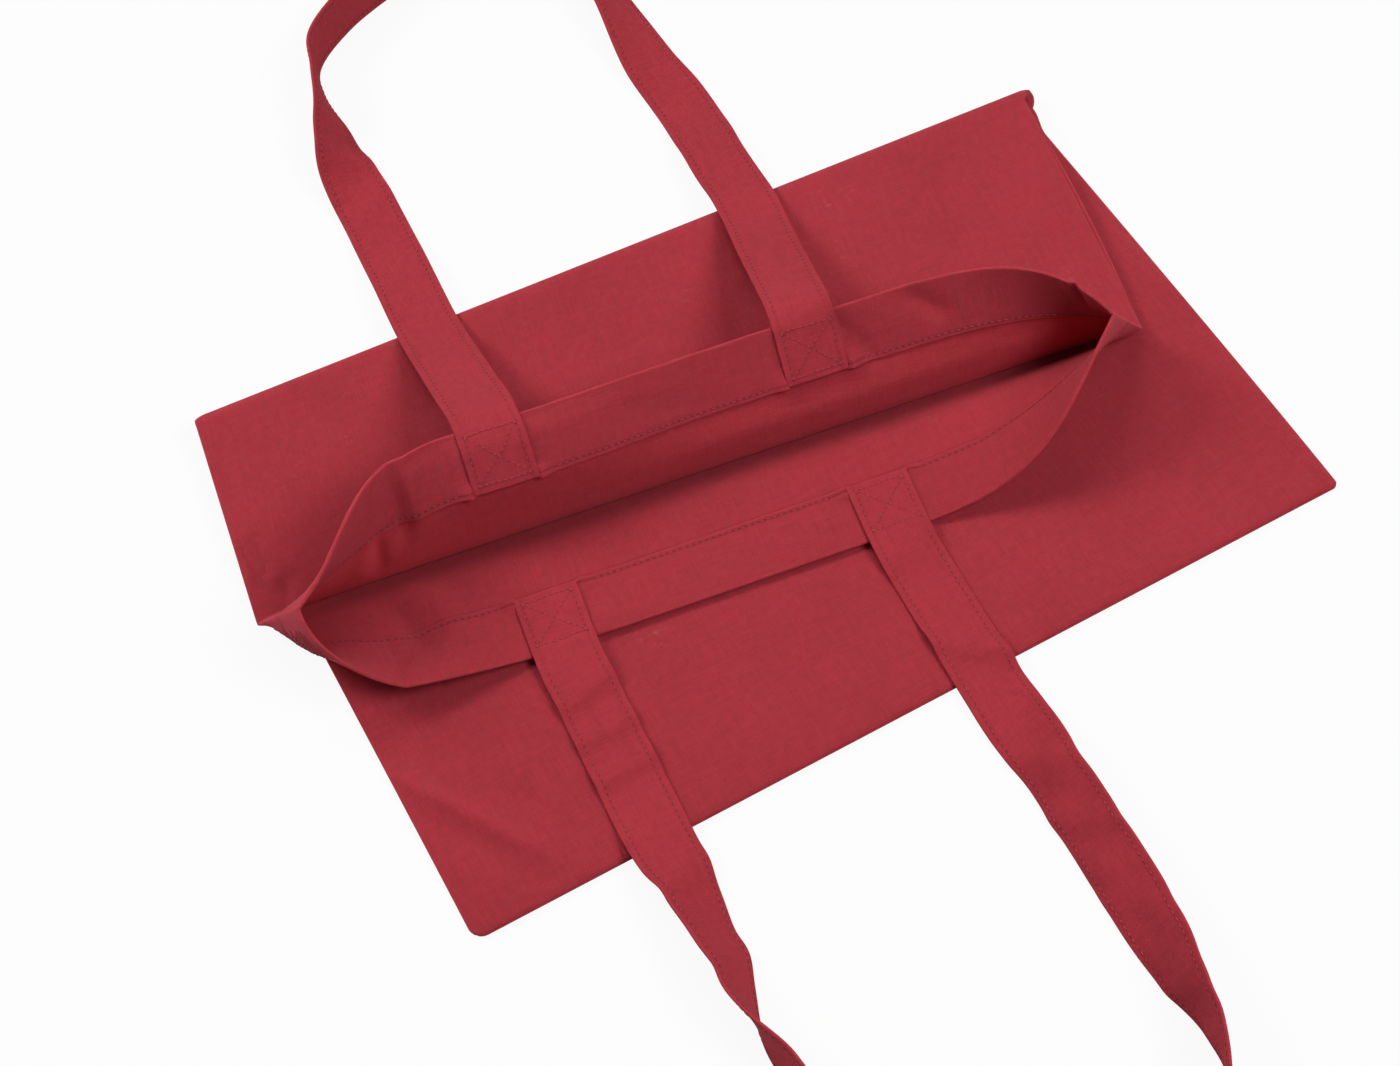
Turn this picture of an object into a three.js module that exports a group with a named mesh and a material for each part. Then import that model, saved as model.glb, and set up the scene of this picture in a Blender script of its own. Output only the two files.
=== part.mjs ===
// Cotton tote bag lying on a table, folded over once, with its mouth part open. Millimetres, Z up.
// Bag frame: X runs along the bottom edge, Y from the bottom edge to the fold, Z up from the table.
// The whole bag is then moved so that the origin is the middle of the flat underside.
import * as THREE from "three";

// Bag and cloth
const BAG_WIDTH = 380;
const CLOTH = 0.8;
const SEAM = 8;
const GAP = 0.3;

// Fold across the middle: how far from the bottom edge, how far out of square, how tight
const FOLD_Y = 224;
const FOLD_TILT = THREE.MathUtils.degToRad(3.4);
const INNER_FOLD_RADIUS = 4;
// How far the side edges stand from the middle at the fold, on its lower and its upper side
const FOLD_LEFT = [193, 195.5];
const FOLD_RIGHT = [180, 177.5];
// How far the cloth flares out at the fold's right end
const FOLD_FLARE = 5;

// Crease where the two walls part, seen in the frame of the folded-over half
const CREASE_PULL = 8;
const CREASE_X = -12.2;
const CREASE_Y = -104.5;
const CREASE_LIFT = 4.5;
const CREASE_SKEW = THREE.MathUtils.degToRad(1.3);

// Open mouth: length of each wall past the crease and its lean in degrees (0 forward, 90 upright)
const FLAP = 48.6;
const SEAM_FLAP = 55;
const BACK_LEAN = 131;
const FRONT_LEAN = -1.5;
const LEFT_SEAM_LEAN = 65;
const RIGHT_SEAM_LEAN = 74;
const LEFT_SEAM_TILT = 19;
const RIGHT_SEAM_TILT = 30;
// How far from each seam (left, right) a wall is still turning, and how slowly it starts to turn
const BACK_REACH = [90, 110];
const BACK_EASE = [0.6, -0.2];
const FRONT_REACH = [96, 121];
const FRONT_EASE = 0.3;
// Sharp bend in the front rim: how far from the left seam, and how far open the mouth is there
const FRONT_BEND = 42.6;
const FRONT_BEND_OPEN = 0.777;
// How far the back wall bulges to the inner side, most at this share of its height
const BACK_BOW = 5.2;
const BACK_BOW_AT = 0.32;
const HEM = 24;

// Where the standing corners end, as a share of the mouth's width
const BACK_CORNER = 0.15;
const FRONT_CORNER = 0.045;

// Handles
const STRAP_WIDTH = 25;
const STRAP = 1.2;
const THREAD = 0.4;
// Places of the sewn ends along the mouth, left and right of its middle
const FRONT_STRAPS = [-79.7, 58];
const BACK_STRAPS = [-80.9, 48.2];
// How far the loops lie out on the table, from the bottom edge and from the fold
const FRONT_LOOP = 211;
const BACK_LOOP = 192;
// How far each leg, left and right, has wandered sideways from its rim: on the table, over the fold
const FRONT_DRIFT = [-4.2, -1.5];
const BACK_DRIFT = [9, 24.2];
const CREST_DRIFT = [3.7, 18.1];
// Roll of each strap on to its edge: share of the way along it, and degrees
const FRONT_ROLLS = [
  [0.105, 0],
  [0.18, 42],
  [0.262, 43],
  [0.378, 103],
  [0.5, 92],
  [0.72, 100],
  [0.79, 52],
  [0.895, 0],
];
const BACK_ROLLS = [
  [0.221, 0],
  [0.343, 88],
  [0.55, 78],
  [0.655, -42],
  [0.757, 0],
];

// Heights of the stacked layers
const seamCloth = 0.75 * CLOTH;
const seamGap = CLOTH + 2 * GAP;
const lowerFrontBase = CLOTH + seamGap;
const lowerFrontTop = lowerFrontBase + CLOTH;
const foldZ = lowerFrontBase + CLOTH / 2 + INNER_FOLD_RADIUS;
const outerFoldRadius = foldZ - CLOTH / 2;
const creaseLength = BAG_WIDTH - CREASE_PULL;
const creaseZ = lowerFrontTop + CREASE_LIFT;

const half = BAG_WIDTH / 2;
const foldBack = new THREE.Vector3(Math.sin(FOLD_TILT), Math.cos(FOLD_TILT), 0);
const foldSlope = Math.tan(FOLD_TILT);

// Frame of the folded-over half, then of the mouth within it
const topFrame = new THREE.Matrix4().makeRotationZ(-2 * FOLD_TILT);
topFrame.setPosition(0, FOLD_Y, 0);
const creaseFrame = new THREE.Matrix4().makeRotationZ(-CREASE_SKEW);
creaseFrame.setPosition(CREASE_X, CREASE_Y, creaseZ);
const mouthFrame = topFrame.clone().multiply(creaseFrame);

const cotton = { color: 0xa83240, roughness: 0.95, metalness: 0 };
const tape = { color: 0xb03544, roughness: 0.92, metalness: 0 };
const thread = { color: 0x8c2734, roughness: 0.8, metalness: 0 };

const bag = new THREE.Group();

function piece(name, geometry, look) {
  const mesh = new THREE.Mesh(geometry, new THREE.MeshStandardMaterial(look));
  mesh.name = name;
  bag.add(mesh);
}

// Unit normal of a surface at(u, v)
function normalAt(at, u, v) {
  const step = 1e-3;
  const u0 = Math.max(0, u - step);
  const v0 = Math.max(0, v - step);
  const du = at(Math.min(1, u + step), v).sub(at(u0, v));
  const dv = at(u, Math.min(1, v + step)).sub(at(u, v0));
  return du.cross(dv).normalize();
}

// Closed sheet over a surface at(u, v), from low to high along the surface's normal
function sheet(at, across, along, low, high) {
  const cols = across + 1;
  const rows = along + 1;
  const positions = [];
  for (const lift of [high, low]) {
    for (let j = 0; j < rows; j += 1) {
      for (let i = 0; i < cols; i += 1) {
        const u = i / across;
        const v = j / along;
        const p = at(u, v).addScaledVector(normalAt(at, u, v), lift);
        positions.push(p.x, p.y, p.z);
      }
    }
  }
  const under = cols * rows;
  const faces = [];
  for (let j = 0; j < along; j += 1) {
    for (let i = 0; i < across; i += 1) {
      const a = j * cols + i;
      const b = a + 1;
      const c = a + cols + 1;
      const d = a + cols;
      faces.push(a, b, c, a, c, d);
      faces.push(under + a, under + c, under + b, under + a, under + d, under + c);
    }
  }
  const rim = [];
  for (let i = 0; i < across; i += 1) rim.push(i);
  for (let j = 0; j < along; j += 1) rim.push(j * cols + across);
  for (let i = across; i > 0; i -= 1) rim.push(along * cols + i);
  for (let j = along; j > 0; j -= 1) rim.push(j * cols);
  rim.forEach((a, k) => {
    const b = rim[(k + 1) % rim.length];
    faces.push(a, under + a, under + b, a, under + b, b);
  });
  const geometry = new THREE.BufferGeometry();
  geometry.setAttribute("position", new THREE.Float32BufferAttribute(positions, 3));
  geometry.setIndex(faces);
  return geometry;
}

// Flat plate from an outline, lying at a height
function plate(points, base, depth) {
  const shape = new THREE.Shape(points.map(([x, y]) => new THREE.Vector2(x, y)));
  const geometry = new THREE.ExtrudeGeometry(shape, { depth, bevelEnabled: false });
  return geometry.translate(0, 0, base);
}

const foldY = (x) => FOLD_Y - x * foldSlope;
const lerp = THREE.MathUtils.lerp;

// Lower half, flat on the table: back wall underneath, front wall on top, seam allowances between
function sideEdge(sign, inset, low, gap) {
  const atFold = (sign > 0 ? FOLD_RIGHT[0] : FOLD_LEFT[0]) - inset;
  const atBottom = half - inset;
  const top = foldY(sign * atFold) - gap;
  return [0, 0.2, 0.4, 0.6, 0.8, 1].map((t) => {
    const y = lerp(low, top, t);
    return [sign * lerp(atBottom, atFold, (y / top) ** 1.2), y];
  });
}
const lowerOutline = [...sideEdge(1, 0, 0, GAP), ...sideEdge(-1, 0, 0, GAP).reverse()];
piece("back_panel_lower", plate(lowerOutline, 0, CLOTH), cotton);
piece("front_panel_lower", plate(lowerOutline, lowerFrontBase, CLOTH), cotton);
const seamBase = CLOTH + (seamGap - seamCloth) / 2;
const bottomSeam = [
  [-half, 0],
  [half, 0],
  [half, SEAM],
  [-half, SEAM],
];
piece("bottom_seam", plate(bottomSeam, seamBase, seamCloth), cotton);
function sideSeamLower(sign) {
  const far = sideEdge(sign, 0, SEAM + GAP, 2 * GAP);
  const near = sideEdge(sign, SEAM, SEAM + GAP, 2 * GAP);
  const outline = [...far, ...near.reverse()];
  return plate(sign > 0 ? outline : outline.reverse(), seamBase, seamCloth);
}
piece("left_side_seam_lower", sideSeamLower(-1), cotton);
piece("right_side_seam_lower", sideSeamLower(1), cotton);

// Fold: both walls turn over together, the back wall outside and the front wall inside
function foldStrip(radius) {
  return (u, v) => {
    const turn = lerp(-Math.PI / 2, Math.PI / 2, v);
    const up = (1 + Math.sin(turn)) / 2;
    const right = lerp(...FOLD_RIGHT, up) + FOLD_FLARE * Math.cos(turn) * u ** 4;
    const x = lerp(-lerp(...FOLD_LEFT, up), right, u);
    const p = new THREE.Vector3(x, foldY(x), foldZ + radius * Math.sin(turn));
    return p.addScaledVector(foldBack, radius * Math.cos(turn));
  };
}
piece("outer_fold", sheet(foldStrip(outerFoldRadius), 10, 12, -CLOTH / 2, CLOTH / 2), cotton);
piece("inner_fold", sheet(foldStrip(INNER_FOLD_RADIUS), 10, 12, -CLOTH / 2, CLOTH / 2), cotton);

// Folded-over half: u runs along the fold, v from the crease back to the fold
function upperWall(foldHeight, creaseHeight, u0, u1, back) {
  return (u, v) => {
    const share = lerp(u0, u1, u);
    const x = lerp(-FOLD_LEFT[1], FOLD_RIGHT[1], share);
    const onFold = new THREE.Vector3(x, foldY(x), foldHeight);
    onFold.addScaledVector(foldBack, -GAP);
    const onCrease = new THREE.Vector3((share - 0.5) * creaseLength, back, creaseHeight);
    onCrease.applyMatrix4(mouthFrame);
    return onCrease.lerp(onFold, v);
  };
}
const frontFoldTop = foldZ + INNER_FOLD_RADIUS + CLOTH / 2;
const backFoldBase = foldZ + outerFoldRadius - CLOTH / 2;
const part = seamCloth / 2 + GAP;
const frontUpper = upperWall(frontFoldTop, -part, 0, 1, 0.3);
piece("front_panel_upper", sheet(frontUpper, 12, 4, -CLOTH, 0), cotton);
const backUpper = upperWall(backFoldBase, part, 0, 1, 1);
piece("back_panel_upper", sheet(backUpper, 12, 4, 0, CLOTH), cotton);
const seamShare = SEAM / BAG_WIDTH;
const seamFold = (frontFoldTop + backFoldBase) / 2;
const leftUpperSeam = upperWall(seamFold, 0, 0, seamShare, 1);
piece("left_side_seam_upper", sheet(leftUpperSeam, 1, 4, -seamCloth / 2, seamCloth / 2), cotton);
const rightUpperSeam = upperWall(seamFold, 0, 1 - seamShare, 1, 1);
piece("right_side_seam_upper", sheet(rightUpperSeam, 1, 4, -seamCloth / 2, seamCloth / 2), cotton);

// How far the mouth has opened at a distance from a seam: 0 at the seam, 1 past the reach
function opened(distance, reach, ease = 0) {
  const d = Math.min(1, distance / reach);
  return lerp(Math.sin((Math.PI / 2) * d), THREE.MathUtils.smoothstep(d, 0, 1), ease);
}

// The same for the left part of the front wall: quickly up to its bend, then evenly
function openedToBend(distance) {
  if (distance < FRONT_BEND) return FRONT_BEND_OPEN * (distance / FRONT_BEND) ** 0.7;
  const past = (distance - FRONT_BEND) / (FRONT_REACH[0] - FRONT_BEND);
  return lerp(FRONT_BEND_OPEN, 1, Math.min(1, past));
}

// Point of a mouth wall: side 1 back, -1 front, u along the mouth, s from the crease to the rim
function mouth(side, u, s) {
  const fromLeft = u * BAG_WIDTH;
  const fromRight = (1 - u) * BAG_WIDTH;
  const left = side > 0 ? opened(fromLeft, BACK_REACH[0], BACK_EASE[0]) : openedToBend(fromLeft);
  const reach = side > 0 ? BACK_REACH[1] : FRONT_REACH[1];
  const right = opened(fromRight, reach, side > 0 ? BACK_EASE[1] : FRONT_EASE);
  const open = Math.min(left, right);
  const seamLean = u < 0.5 ? LEFT_SEAM_LEAN : RIGHT_SEAM_LEAN;
  const middleLean = side > 0 ? BACK_LEAN : FRONT_LEAN;
  const lean = THREE.MathUtils.degToRad(lerp(seamLean, middleLean, open));
  const inward = LEFT_SEAM_TILT * (1 - left) - RIGHT_SEAM_TILT * (1 - right);
  const tilt = THREE.MathUtils.degToRad(inward);
  const length = lerp(SEAM_FLAP, FLAP, open) * s;
  const apart = side * opened(Math.min(u, 1 - u) * BAG_WIDTH, 8);
  const p = new THREE.Vector3((u - 0.5) * creaseLength, 0.5 * apart, part * apart);
  p.x += length * Math.sin(tilt);
  p.y -= length * Math.cos(tilt) * Math.cos(lean);
  p.z += length * Math.cos(tilt) * Math.sin(lean);
  if (side > 0) {
    const rise = THREE.MathUtils.smoothstep(s, 0, BACK_BOW_AT);
    const bow = (BACK_BOW * open * rise * (1 - s)) / (1 - BACK_BOW_AT);
    p.y -= bow * Math.sin(lean);
    p.z -= bow * Math.cos(lean);
  }
  return p.applyMatrix4(mouthFrame);
}

// Part of a wall between two places along the mouth and two along its height, inner face up
function wall(side, u0, u1, s0, s1) {
  if (side > 0) return (u, v) => mouth(1, lerp(u0, u1, u), lerp(s0, s1, v));
  return (u, v) => mouth(-1, lerp(u1, u0, u), lerp(s0, s1, v));
}

// The same wall with half of its rows below the hem and half over it, so that hem and wall agree
function hemmedWall(side, u0, u1, s0, hem) {
  const below = wall(side, u0, u1, s0, hem);
  const over = wall(side, u0, u1, hem, 1);
  return (u, v) => (v < 0.5 ? below(u, 2 * v) : over(u, 2 * v - 1));
}

const edge = 0.4 / creaseLength;
const start = (3.5 * CLOTH) / FLAP;
const hemStart = 1 - HEM / FLAP;
const frontStart = 0.4 / FLAP;
const frontRange = [FRONT_CORNER + edge, 1 - FRONT_CORNER - edge];
const backRange = [BACK_CORNER + edge, 1 - BACK_CORNER - edge];
const hemLow = GAP;
const hemHigh = GAP + CLOTH;
const endLow = hemHigh + GAP;
const endHigh = endLow + STRAP;
const threadLow = hemHigh + GAP;

const frontWall = hemmedWall(-1, ...frontRange, frontStart, hemStart);
piece("front_flap", sheet(frontWall, 48, 6, -CLOTH, 0), cotton);
piece("front_hem", sheet(wall(-1, ...frontRange, hemStart, 1), 48, 3, hemLow, hemHigh), cotton);
const backWall = hemmedWall(1, ...backRange, start, hemStart);
piece("back_flap", sheet(backWall, 40, 6, -CLOTH, 0), cotton);
piece("back_hem", sheet(wall(1, ...backRange, hemStart, 1), 40, 3, hemLow, hemHigh), cotton);

// Standing corners: from the front wall round the side seam to the back wall
function corner(left) {
  return (u, v) => {
    const w = 2 * u - 1;
    const turn = left ? w : -w;
    const share = turn > 0 ? BACK_CORNER * turn * turn : FRONT_CORNER * turn * turn;
    const along = left ? share : 1 - share;
    return mouth(turn >= 0 ? 1 : -1, along, lerp(start, 1, v));
  };
}
piece("left_mouth_corner", sheet(corner(true), 24, 5, -CLOTH, 0), cotton);
piece("right_mouth_corner", sheet(corner(false), 24, 5, -CLOTH, 0), cotton);

// Sewn strap ends and their box stitching, on the inner face of the hem
const strapShare = (place) => 0.5 + place / creaseLength;
function strapEnd(side, share) {
  const reach = STRAP_WIDTH / 2 / creaseLength;
  const low = hemStart + 1.4 / FLAP;
  return sheet(wall(side, share - reach, share + reach, low, 1), 1, 1, endLow, endHigh);
}
function boxStitch(side, share) {
  const w = STRAP_WIDTH / 2 - 2.5;
  const h = HEM / 2 - 3;
  const line = 0.9;
  const corners = [
    [-w, -h],
    [w, -h],
    [w, h],
    [-w, h],
  ].map(([x, y]) => new THREE.Vector2(x, y));
  const shape = new THREE.Shape(corners);
  corners.forEach((a, k) => {
    const b = corners[(k + 1) % 4];
    const hole = [a, b, new THREE.Vector2()].map((q) => q.clone().multiplyScalar(1 - line / h));
    const middle = hole[0].clone().add(hole[1]).add(hole[2]).divideScalar(3);
    shape.holes.push(new THREE.Path(hole.map((q) => q.lerp(middle, 0.1)).reverse()));
  });
  const geometry = new THREE.ExtrudeGeometry(shape, { depth: THREAD, bevelEnabled: false });
  const surface = wall(side, 0, 1, 0, 1);
  const u = side > 0 ? share : 1 - share;
  const v = 1 - (HEM / 2 - 0.5) / FLAP;
  const up = normalAt(surface, u, v);
  const along = surface(u, v + 0.01).sub(surface(u, v)).normalize();
  const across = along.clone().cross(up);
  const place = new THREE.Matrix4().makeBasis(across, along, up);
  place.setPosition(surface(u, v).addScaledVector(up, endHigh + GAP));
  return geometry.applyMatrix4(place);
}
for (const [side, name, places] of [
  [-1, "front", FRONT_STRAPS],
  [1, "back", BACK_STRAPS],
]) {
  for (const [k, hand] of ["left", "right"].entries()) {
    const share = strapShare(places[k]);
    piece(name + "_strap_end_" + hand, strapEnd(side, share), tape);
    piece(name + "_box_stitch_" + hand, boxStitch(side, share), thread);
  }
}

// Heights of a strap's lower face: on the table, on the lower half, over the fold
const onTable = 0.35;
const onPanel = lowerFrontTop + GAP;
const overFold = foldZ + outerFoldRadius + CLOTH / 2 + 2;

// Roll of a strap in radians at a share of the way along it
function rollAt(rolls, t) {
  const next = rolls.findIndex(([place]) => t < place);
  if (next < 1) return 0;
  const [[t0, roll0], [t1, roll1]] = [rolls[next - 1], rolls[next]];
  return THREE.MathUtils.degToRad(lerp(roll0, roll1, THREE.MathUtils.smoothstep(t, t0, t1)));
}

// Straps: a route for the middle of the lower face, and a roll on to the edge round the far loop
function strap(route, rolls) {
  const curve = new THREE.CatmullRomCurve3(route, false, "centripetal");
  curve.arcLengthDivisions = 800;
  const middle = (t) => {
    const roll = rollAt(rolls, t);
    const p = curve.getPointAt(t);
    p.z = Math.max(p.z, onTable) + (STRAP_WIDTH / 2) * Math.abs(Math.sin(roll)) + STRAP / 2;
    return { p, roll };
  };
  return (from, to, count) => {
    const at = (u, v) => {
      const t = lerp(from, to, v);
      const { p, roll } = middle(t);
      const before = middle(Math.max(0, t - 2e-3)).p;
      const heading = middle(Math.min(1, t + 2e-3)).p.sub(before).normalize();
      const side = heading.clone().cross(new THREE.Vector3(0, 0, 1)).normalize();
      const up = side.clone().cross(heading);
      const width = side.multiplyScalar(Math.cos(roll)).addScaledVector(up, -Math.sin(roll));
      return p.addScaledVector(width, (u - 0.5) * STRAP_WIDTH);
    };
    return sheet(at, 2, count, -STRAP / 2, STRAP / 2);
  };
}

// Where a strap leaves the rim: a little past the edge, level with its sewn end
function rimExit(side, place, past) {
  const share = strapShare(place);
  const surface = wall(side, 0, 1, 0, 1);
  const p = mouth(side, share, 1 + past / FLAP);
  p.addScaledVector(normalAt(surface, side > 0 ? share : 1 - share, 1), (endLow + endHigh) / 2);
  p.z -= STRAP / 2;
  return p;
}

// Loop on the table: each spot as a share of the way across the legs and of the way out
function loopOnTable(left, right, out, spots) {
  const middle = (left + right) / 2;
  const span = (right - left) / 2;
  return spots.map(([across, far]) => new THREE.Vector3(middle + across * span, out(far), onTable));
}

// Back handle: over the rim and the fold to the table, round to the right and home again
function backLeg(hand) {
  const exit = rimExit(1, BACK_STRAPS[hand], 1);
  const rise = rimExit(1, BACK_STRAPS[hand], 4);
  const x = exit.x + BACK_DRIFT[hand];
  const crest = new THREE.Vector3(exit.x + CREST_DRIFT[hand], 0, overFold);
  crest.y = foldY(crest.x);
  const bow = (share, lift) => exit.clone().lerp(crest, share).add(new THREE.Vector3(0, 0, lift));
  const landing = new THREE.Vector3(lerp(crest.x, x, 0.5), crest.y + 32, overFold / 2);
  return { x, points: [exit, rise, bow(0.3, 1.6), bow(0.6, 0.2), crest, landing] };
}
const backOut = (far) => FOLD_Y + far * BACK_LOOP;
const backLeft = backLeg(0);
const backRight = backLeg(1);
const backRoute = [
  ...backLeft.points,
  ...loopOnTable(backLeft.x, backRight.x, backOut, [
    [-1, 0.4],
    [-1, 0.56],
    [-0.94, 0.646],
    [-0.9, 0.74],
    [-0.83, 0.82],
    [-0.55, 0.895],
    [-0.15, 0.95],
    [0.38, 1],
    [0.88, 1],
    [1.05, 0.88],
    [0.98, 0.74],
    [0.966, 0.6],
    [0.966, 0.47],
    [1, 0.35],
  ]),
  ...backRight.points.reverse(),
];
const backStrap = strap(backRoute, BACK_ROLLS);
const cut = 0.0008;
piece("back_strap_left", backStrap(0, 0.084, 8), tape);
piece("back_strap_bend_left", backStrap(0.084 + cut, 0.138, 6), tape);
piece("back_strap_loop", backStrap(0.138 + cut, 0.846 - cut, 72), tape);
piece("back_strap_bend_right", backStrap(0.846, 0.9 - cut, 6), tape);
piece("back_strap_right", backStrap(0.9, 1, 8), tape);

// Front handle: over the rim, down the lower half to the table, round to the left and home again
function frontLeg(hand) {
  const exit = rimExit(-1, FRONT_STRAPS[hand], 1);
  const lead = rimExit(-1, FRONT_STRAPS[hand], 6);
  const wander = (share) => exit.x + (1 - share) * FRONT_DRIFT[hand];
  const onLower = (share, height) => new THREE.Vector3(wander(share), share * exit.y, height);
  const overEdge = onLower(0, onPanel).setY(-3);
  const landed = onLower(0, onTable).setY(-26);
  const settled = [onLower(0.78, onPanel + 0.4), onLower(0.38, onPanel), overEdge, landed];
  return { x: wander(0), points: [exit, lead, ...settled] };
}
const frontOut = (far) => -far * FRONT_LOOP;
const frontLeft = frontLeg(0);
const frontRight = frontLeg(1);
const frontRoute = [
  ...frontRight.points,
  ...loopOnTable(frontLeft.x, frontRight.x, frontOut, [
    [1, 0.28],
    [0.995, 0.47],
    [0.966, 0.63],
    [0.945, 0.735],
    [0.83, 0.84],
    [0.49, 0.95],
    [-0.03, 1],
    [-0.55, 0.92],
    [-0.84, 0.76],
    [-0.95, 0.58],
    [-1.01, 0.45],
    [-1.05, 0.35],
    [-1.015, 0.22],
  ]),
  ...frontLeft.points.reverse(),
];
const frontStrap = strap(frontRoute, FRONT_ROLLS);
piece("front_strap_right", frontStrap(0, 0.25, 16), tape);
piece("front_strap_loop", frontStrap(0.25 + cut, 0.8 - cut, 60), tape);
piece("front_strap_left", frontStrap(0.8, 1, 14), tape);

// Stitch line along each hem
function hemStitch(side, range) {
  const low = hemStart + 0.3 / FLAP;
  const row = wall(side, ...range, low, low + 0.7 / FLAP);
  return sheet(row, side > 0 ? 40 : 48, 1, threadLow, threadLow + THREAD);
}

piece("front_hem_stitch", hemStitch(-1, frontRange), thread);
piece("back_hem_stitch", hemStitch(1, backRange), thread);

bag.position.y = -FOLD_Y / 2;
export default bag;
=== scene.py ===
"""Red cotton tote bag, folded over once on a pale table with its mouth part open.

The pieces are worked out in millimetres in the bag's own frame: X along the bottom edge, Y from the
bottom edge to the fold, Z up from the table. They are turned into the frame's metres when a mesh is made.
"""
import math

import bpy
import numpy as np
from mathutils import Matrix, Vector


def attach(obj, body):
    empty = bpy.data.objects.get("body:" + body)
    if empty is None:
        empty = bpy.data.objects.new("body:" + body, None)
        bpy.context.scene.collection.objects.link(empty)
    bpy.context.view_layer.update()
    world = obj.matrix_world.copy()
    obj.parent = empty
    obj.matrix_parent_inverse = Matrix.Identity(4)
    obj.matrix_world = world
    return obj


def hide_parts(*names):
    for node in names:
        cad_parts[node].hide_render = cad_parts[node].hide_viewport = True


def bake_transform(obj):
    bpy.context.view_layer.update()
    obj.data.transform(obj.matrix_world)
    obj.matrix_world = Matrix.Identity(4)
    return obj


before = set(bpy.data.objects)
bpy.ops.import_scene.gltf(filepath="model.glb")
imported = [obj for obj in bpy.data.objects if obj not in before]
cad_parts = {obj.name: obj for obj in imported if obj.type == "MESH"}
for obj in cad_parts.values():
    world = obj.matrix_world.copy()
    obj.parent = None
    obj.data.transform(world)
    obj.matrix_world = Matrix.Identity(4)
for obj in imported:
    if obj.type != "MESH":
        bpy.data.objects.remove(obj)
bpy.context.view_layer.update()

# Bag, fold and mouth, as in the part's source
BAG_WIDTH = 380.0
HALF = BAG_WIDTH / 2
FOLD_Y = 224.0
FOLD_TILT = math.radians(3.4)
FOLD_Z = 6.6
BACK_FOLD, FRONT_FOLD = 6.2, 4.0
FOLD_LEFT, FOLD_RIGHT, FOLD_FLARE = (193.0, 195.5), (180.0, 177.5), 5.0
CREASE_LENGTH = 372.0
CREASE_AT = (-12.2, -104.5, 7.5)
CREASE_SKEW = math.radians(1.3)
FLAP, SEAM_FLAP = 48.6, 55.0
BACK_LEAN, FRONT_LEAN = 131.0, -1.5
LEFT_SEAM_LEAN, RIGHT_SEAM_LEAN = 65.0, 74.0
LEFT_SEAM_TILT, RIGHT_SEAM_TILT = 19.0, 30.0
BACK_REACH, BACK_EASE = (90.0, 110.0), (0.6, -0.2)
FRONT_REACH, FRONT_EASE = (96.0, 121.0), 0.3
FRONT_BEND, FRONT_BEND_OPEN = 42.6, 0.777
BACK_BOW, BACK_BOW_AT = 5.2, 0.32
HEM = 24.0

# The walls part at the crease by this much in Y and Z, over this distance from the side seams
CREASE_PART_Y, CREASE_PART_Z, SEAM_PART = 0.5, 0.6, 8.0
UPPER_LENGTH = 104.0        # fold to crease, along the cloth
BOTTOM_CORNERS = (5.0, 2.0)     # roundings at the left and the right
BACK_BASE_Z, FRONT_BASE_Z = 0.4, 2.6
BACK_CREASE, FRONT_CREASE = (1.0, 1.0), (-1.0, 0.3)     # height and way back at the crease
RIGHT_CURL = 3.5            # how far the fold's right end stands out
HEM_STEP = 9.0              # step of the back hem before the left strap
CORNER_BAG = 4.0            # how far the cloth bags out under the left corner
SEAM_FREE = 30.0            # the mouth's cloth is free of its seams past this

# Cloth, straps and thread
CLOTH = 0.7
CUT_GAP = 0.004
OUTER_LAYER, HEM_LAYER, HEM_GAPE = -0.4, 0.42, 3.0
RIM_ROUND, RIM_MIDDLE = 0.41, 0.01
LIP, LIP_REACH = 0.72, 4.0
# Paleness along the side edges and the rim, and painted shade along the bottom edge and along the crease
# (height and reach)
EDGE_PALE, BOTTOM_DARK = 0.15, 0.7
BACK_CREASE_DARK, FRONT_CREASE_DARK = (0.5, 3.0), (0.9, 5.0)
SEWN_APART, SEWN_REACH = 0.4, 3.0
SEAM_HALF, SEAM_INSET = 0.28, 0.9
STRAP_WIDTH, STRAP_HALF = 25.0, 12.2
STRAP_ROW = 10.0            # a strap's stitch rows, from its middle
STRAP_LOW, STRAP_LIFT = 0.35, 0.6     # least height of a strap's route, and of its middle over that
SEWN_HEIGHT, SEWN_END = 1.68, 1.004   # a sewn end's middle over the wall, and where it leaves the wall
EXIT_IN, EXIT_DROP = 2.0, 0.6         # where a strap leaves the rim
STRAP_STEP = 1.8                      # rows along a strap
FRONT_STRAPS, BACK_STRAPS = (-79.7, 58.0), (-80.9, 48.2)
FRONT_LOOP, BACK_LOOP = 211.0, 192.0
FRONT_DRIFT, BACK_DRIFT, CREST_DRIFT = (-4.2, -1.5), (9.0, 24.2), (3.7, 18.1)
CREST_HEIGHT, LANDING_HEIGHT, LANDING_PAST = 15.2, 7.6, 32
HEM_ROW = 1.5               # the hem's stitch row, from the hem's edge
STITCH_PITCH, BOX_PITCH, OVERLOCK_PITCH = 2.7, 2.3, 1.5
THREAD, OVERLOCK_THREAD = 0.62, 0.8
# Thread's height over a wall's middle: on the hem, on a sewn strap end, on the outer side and at the
# side seam's end
ON_HEM, ON_STRAP, ON_OUTSIDE, ON_SEAM_END = 0.80, 2.40, -0.78, -0.86

# Rolls of the straps: share of the route and degrees
FRONT_ROLLS = ((0.105, 0), (0.18, 42), (0.262, 43), (0.378, 103), (0.5, 92), (0.72, 100), (0.79, 52),
               (0.895, 0))
BACK_ROLLS = ((0.221, 0), (0.343, 88), (0.55, 78), (0.655, -42), (0.757, 0))
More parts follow.
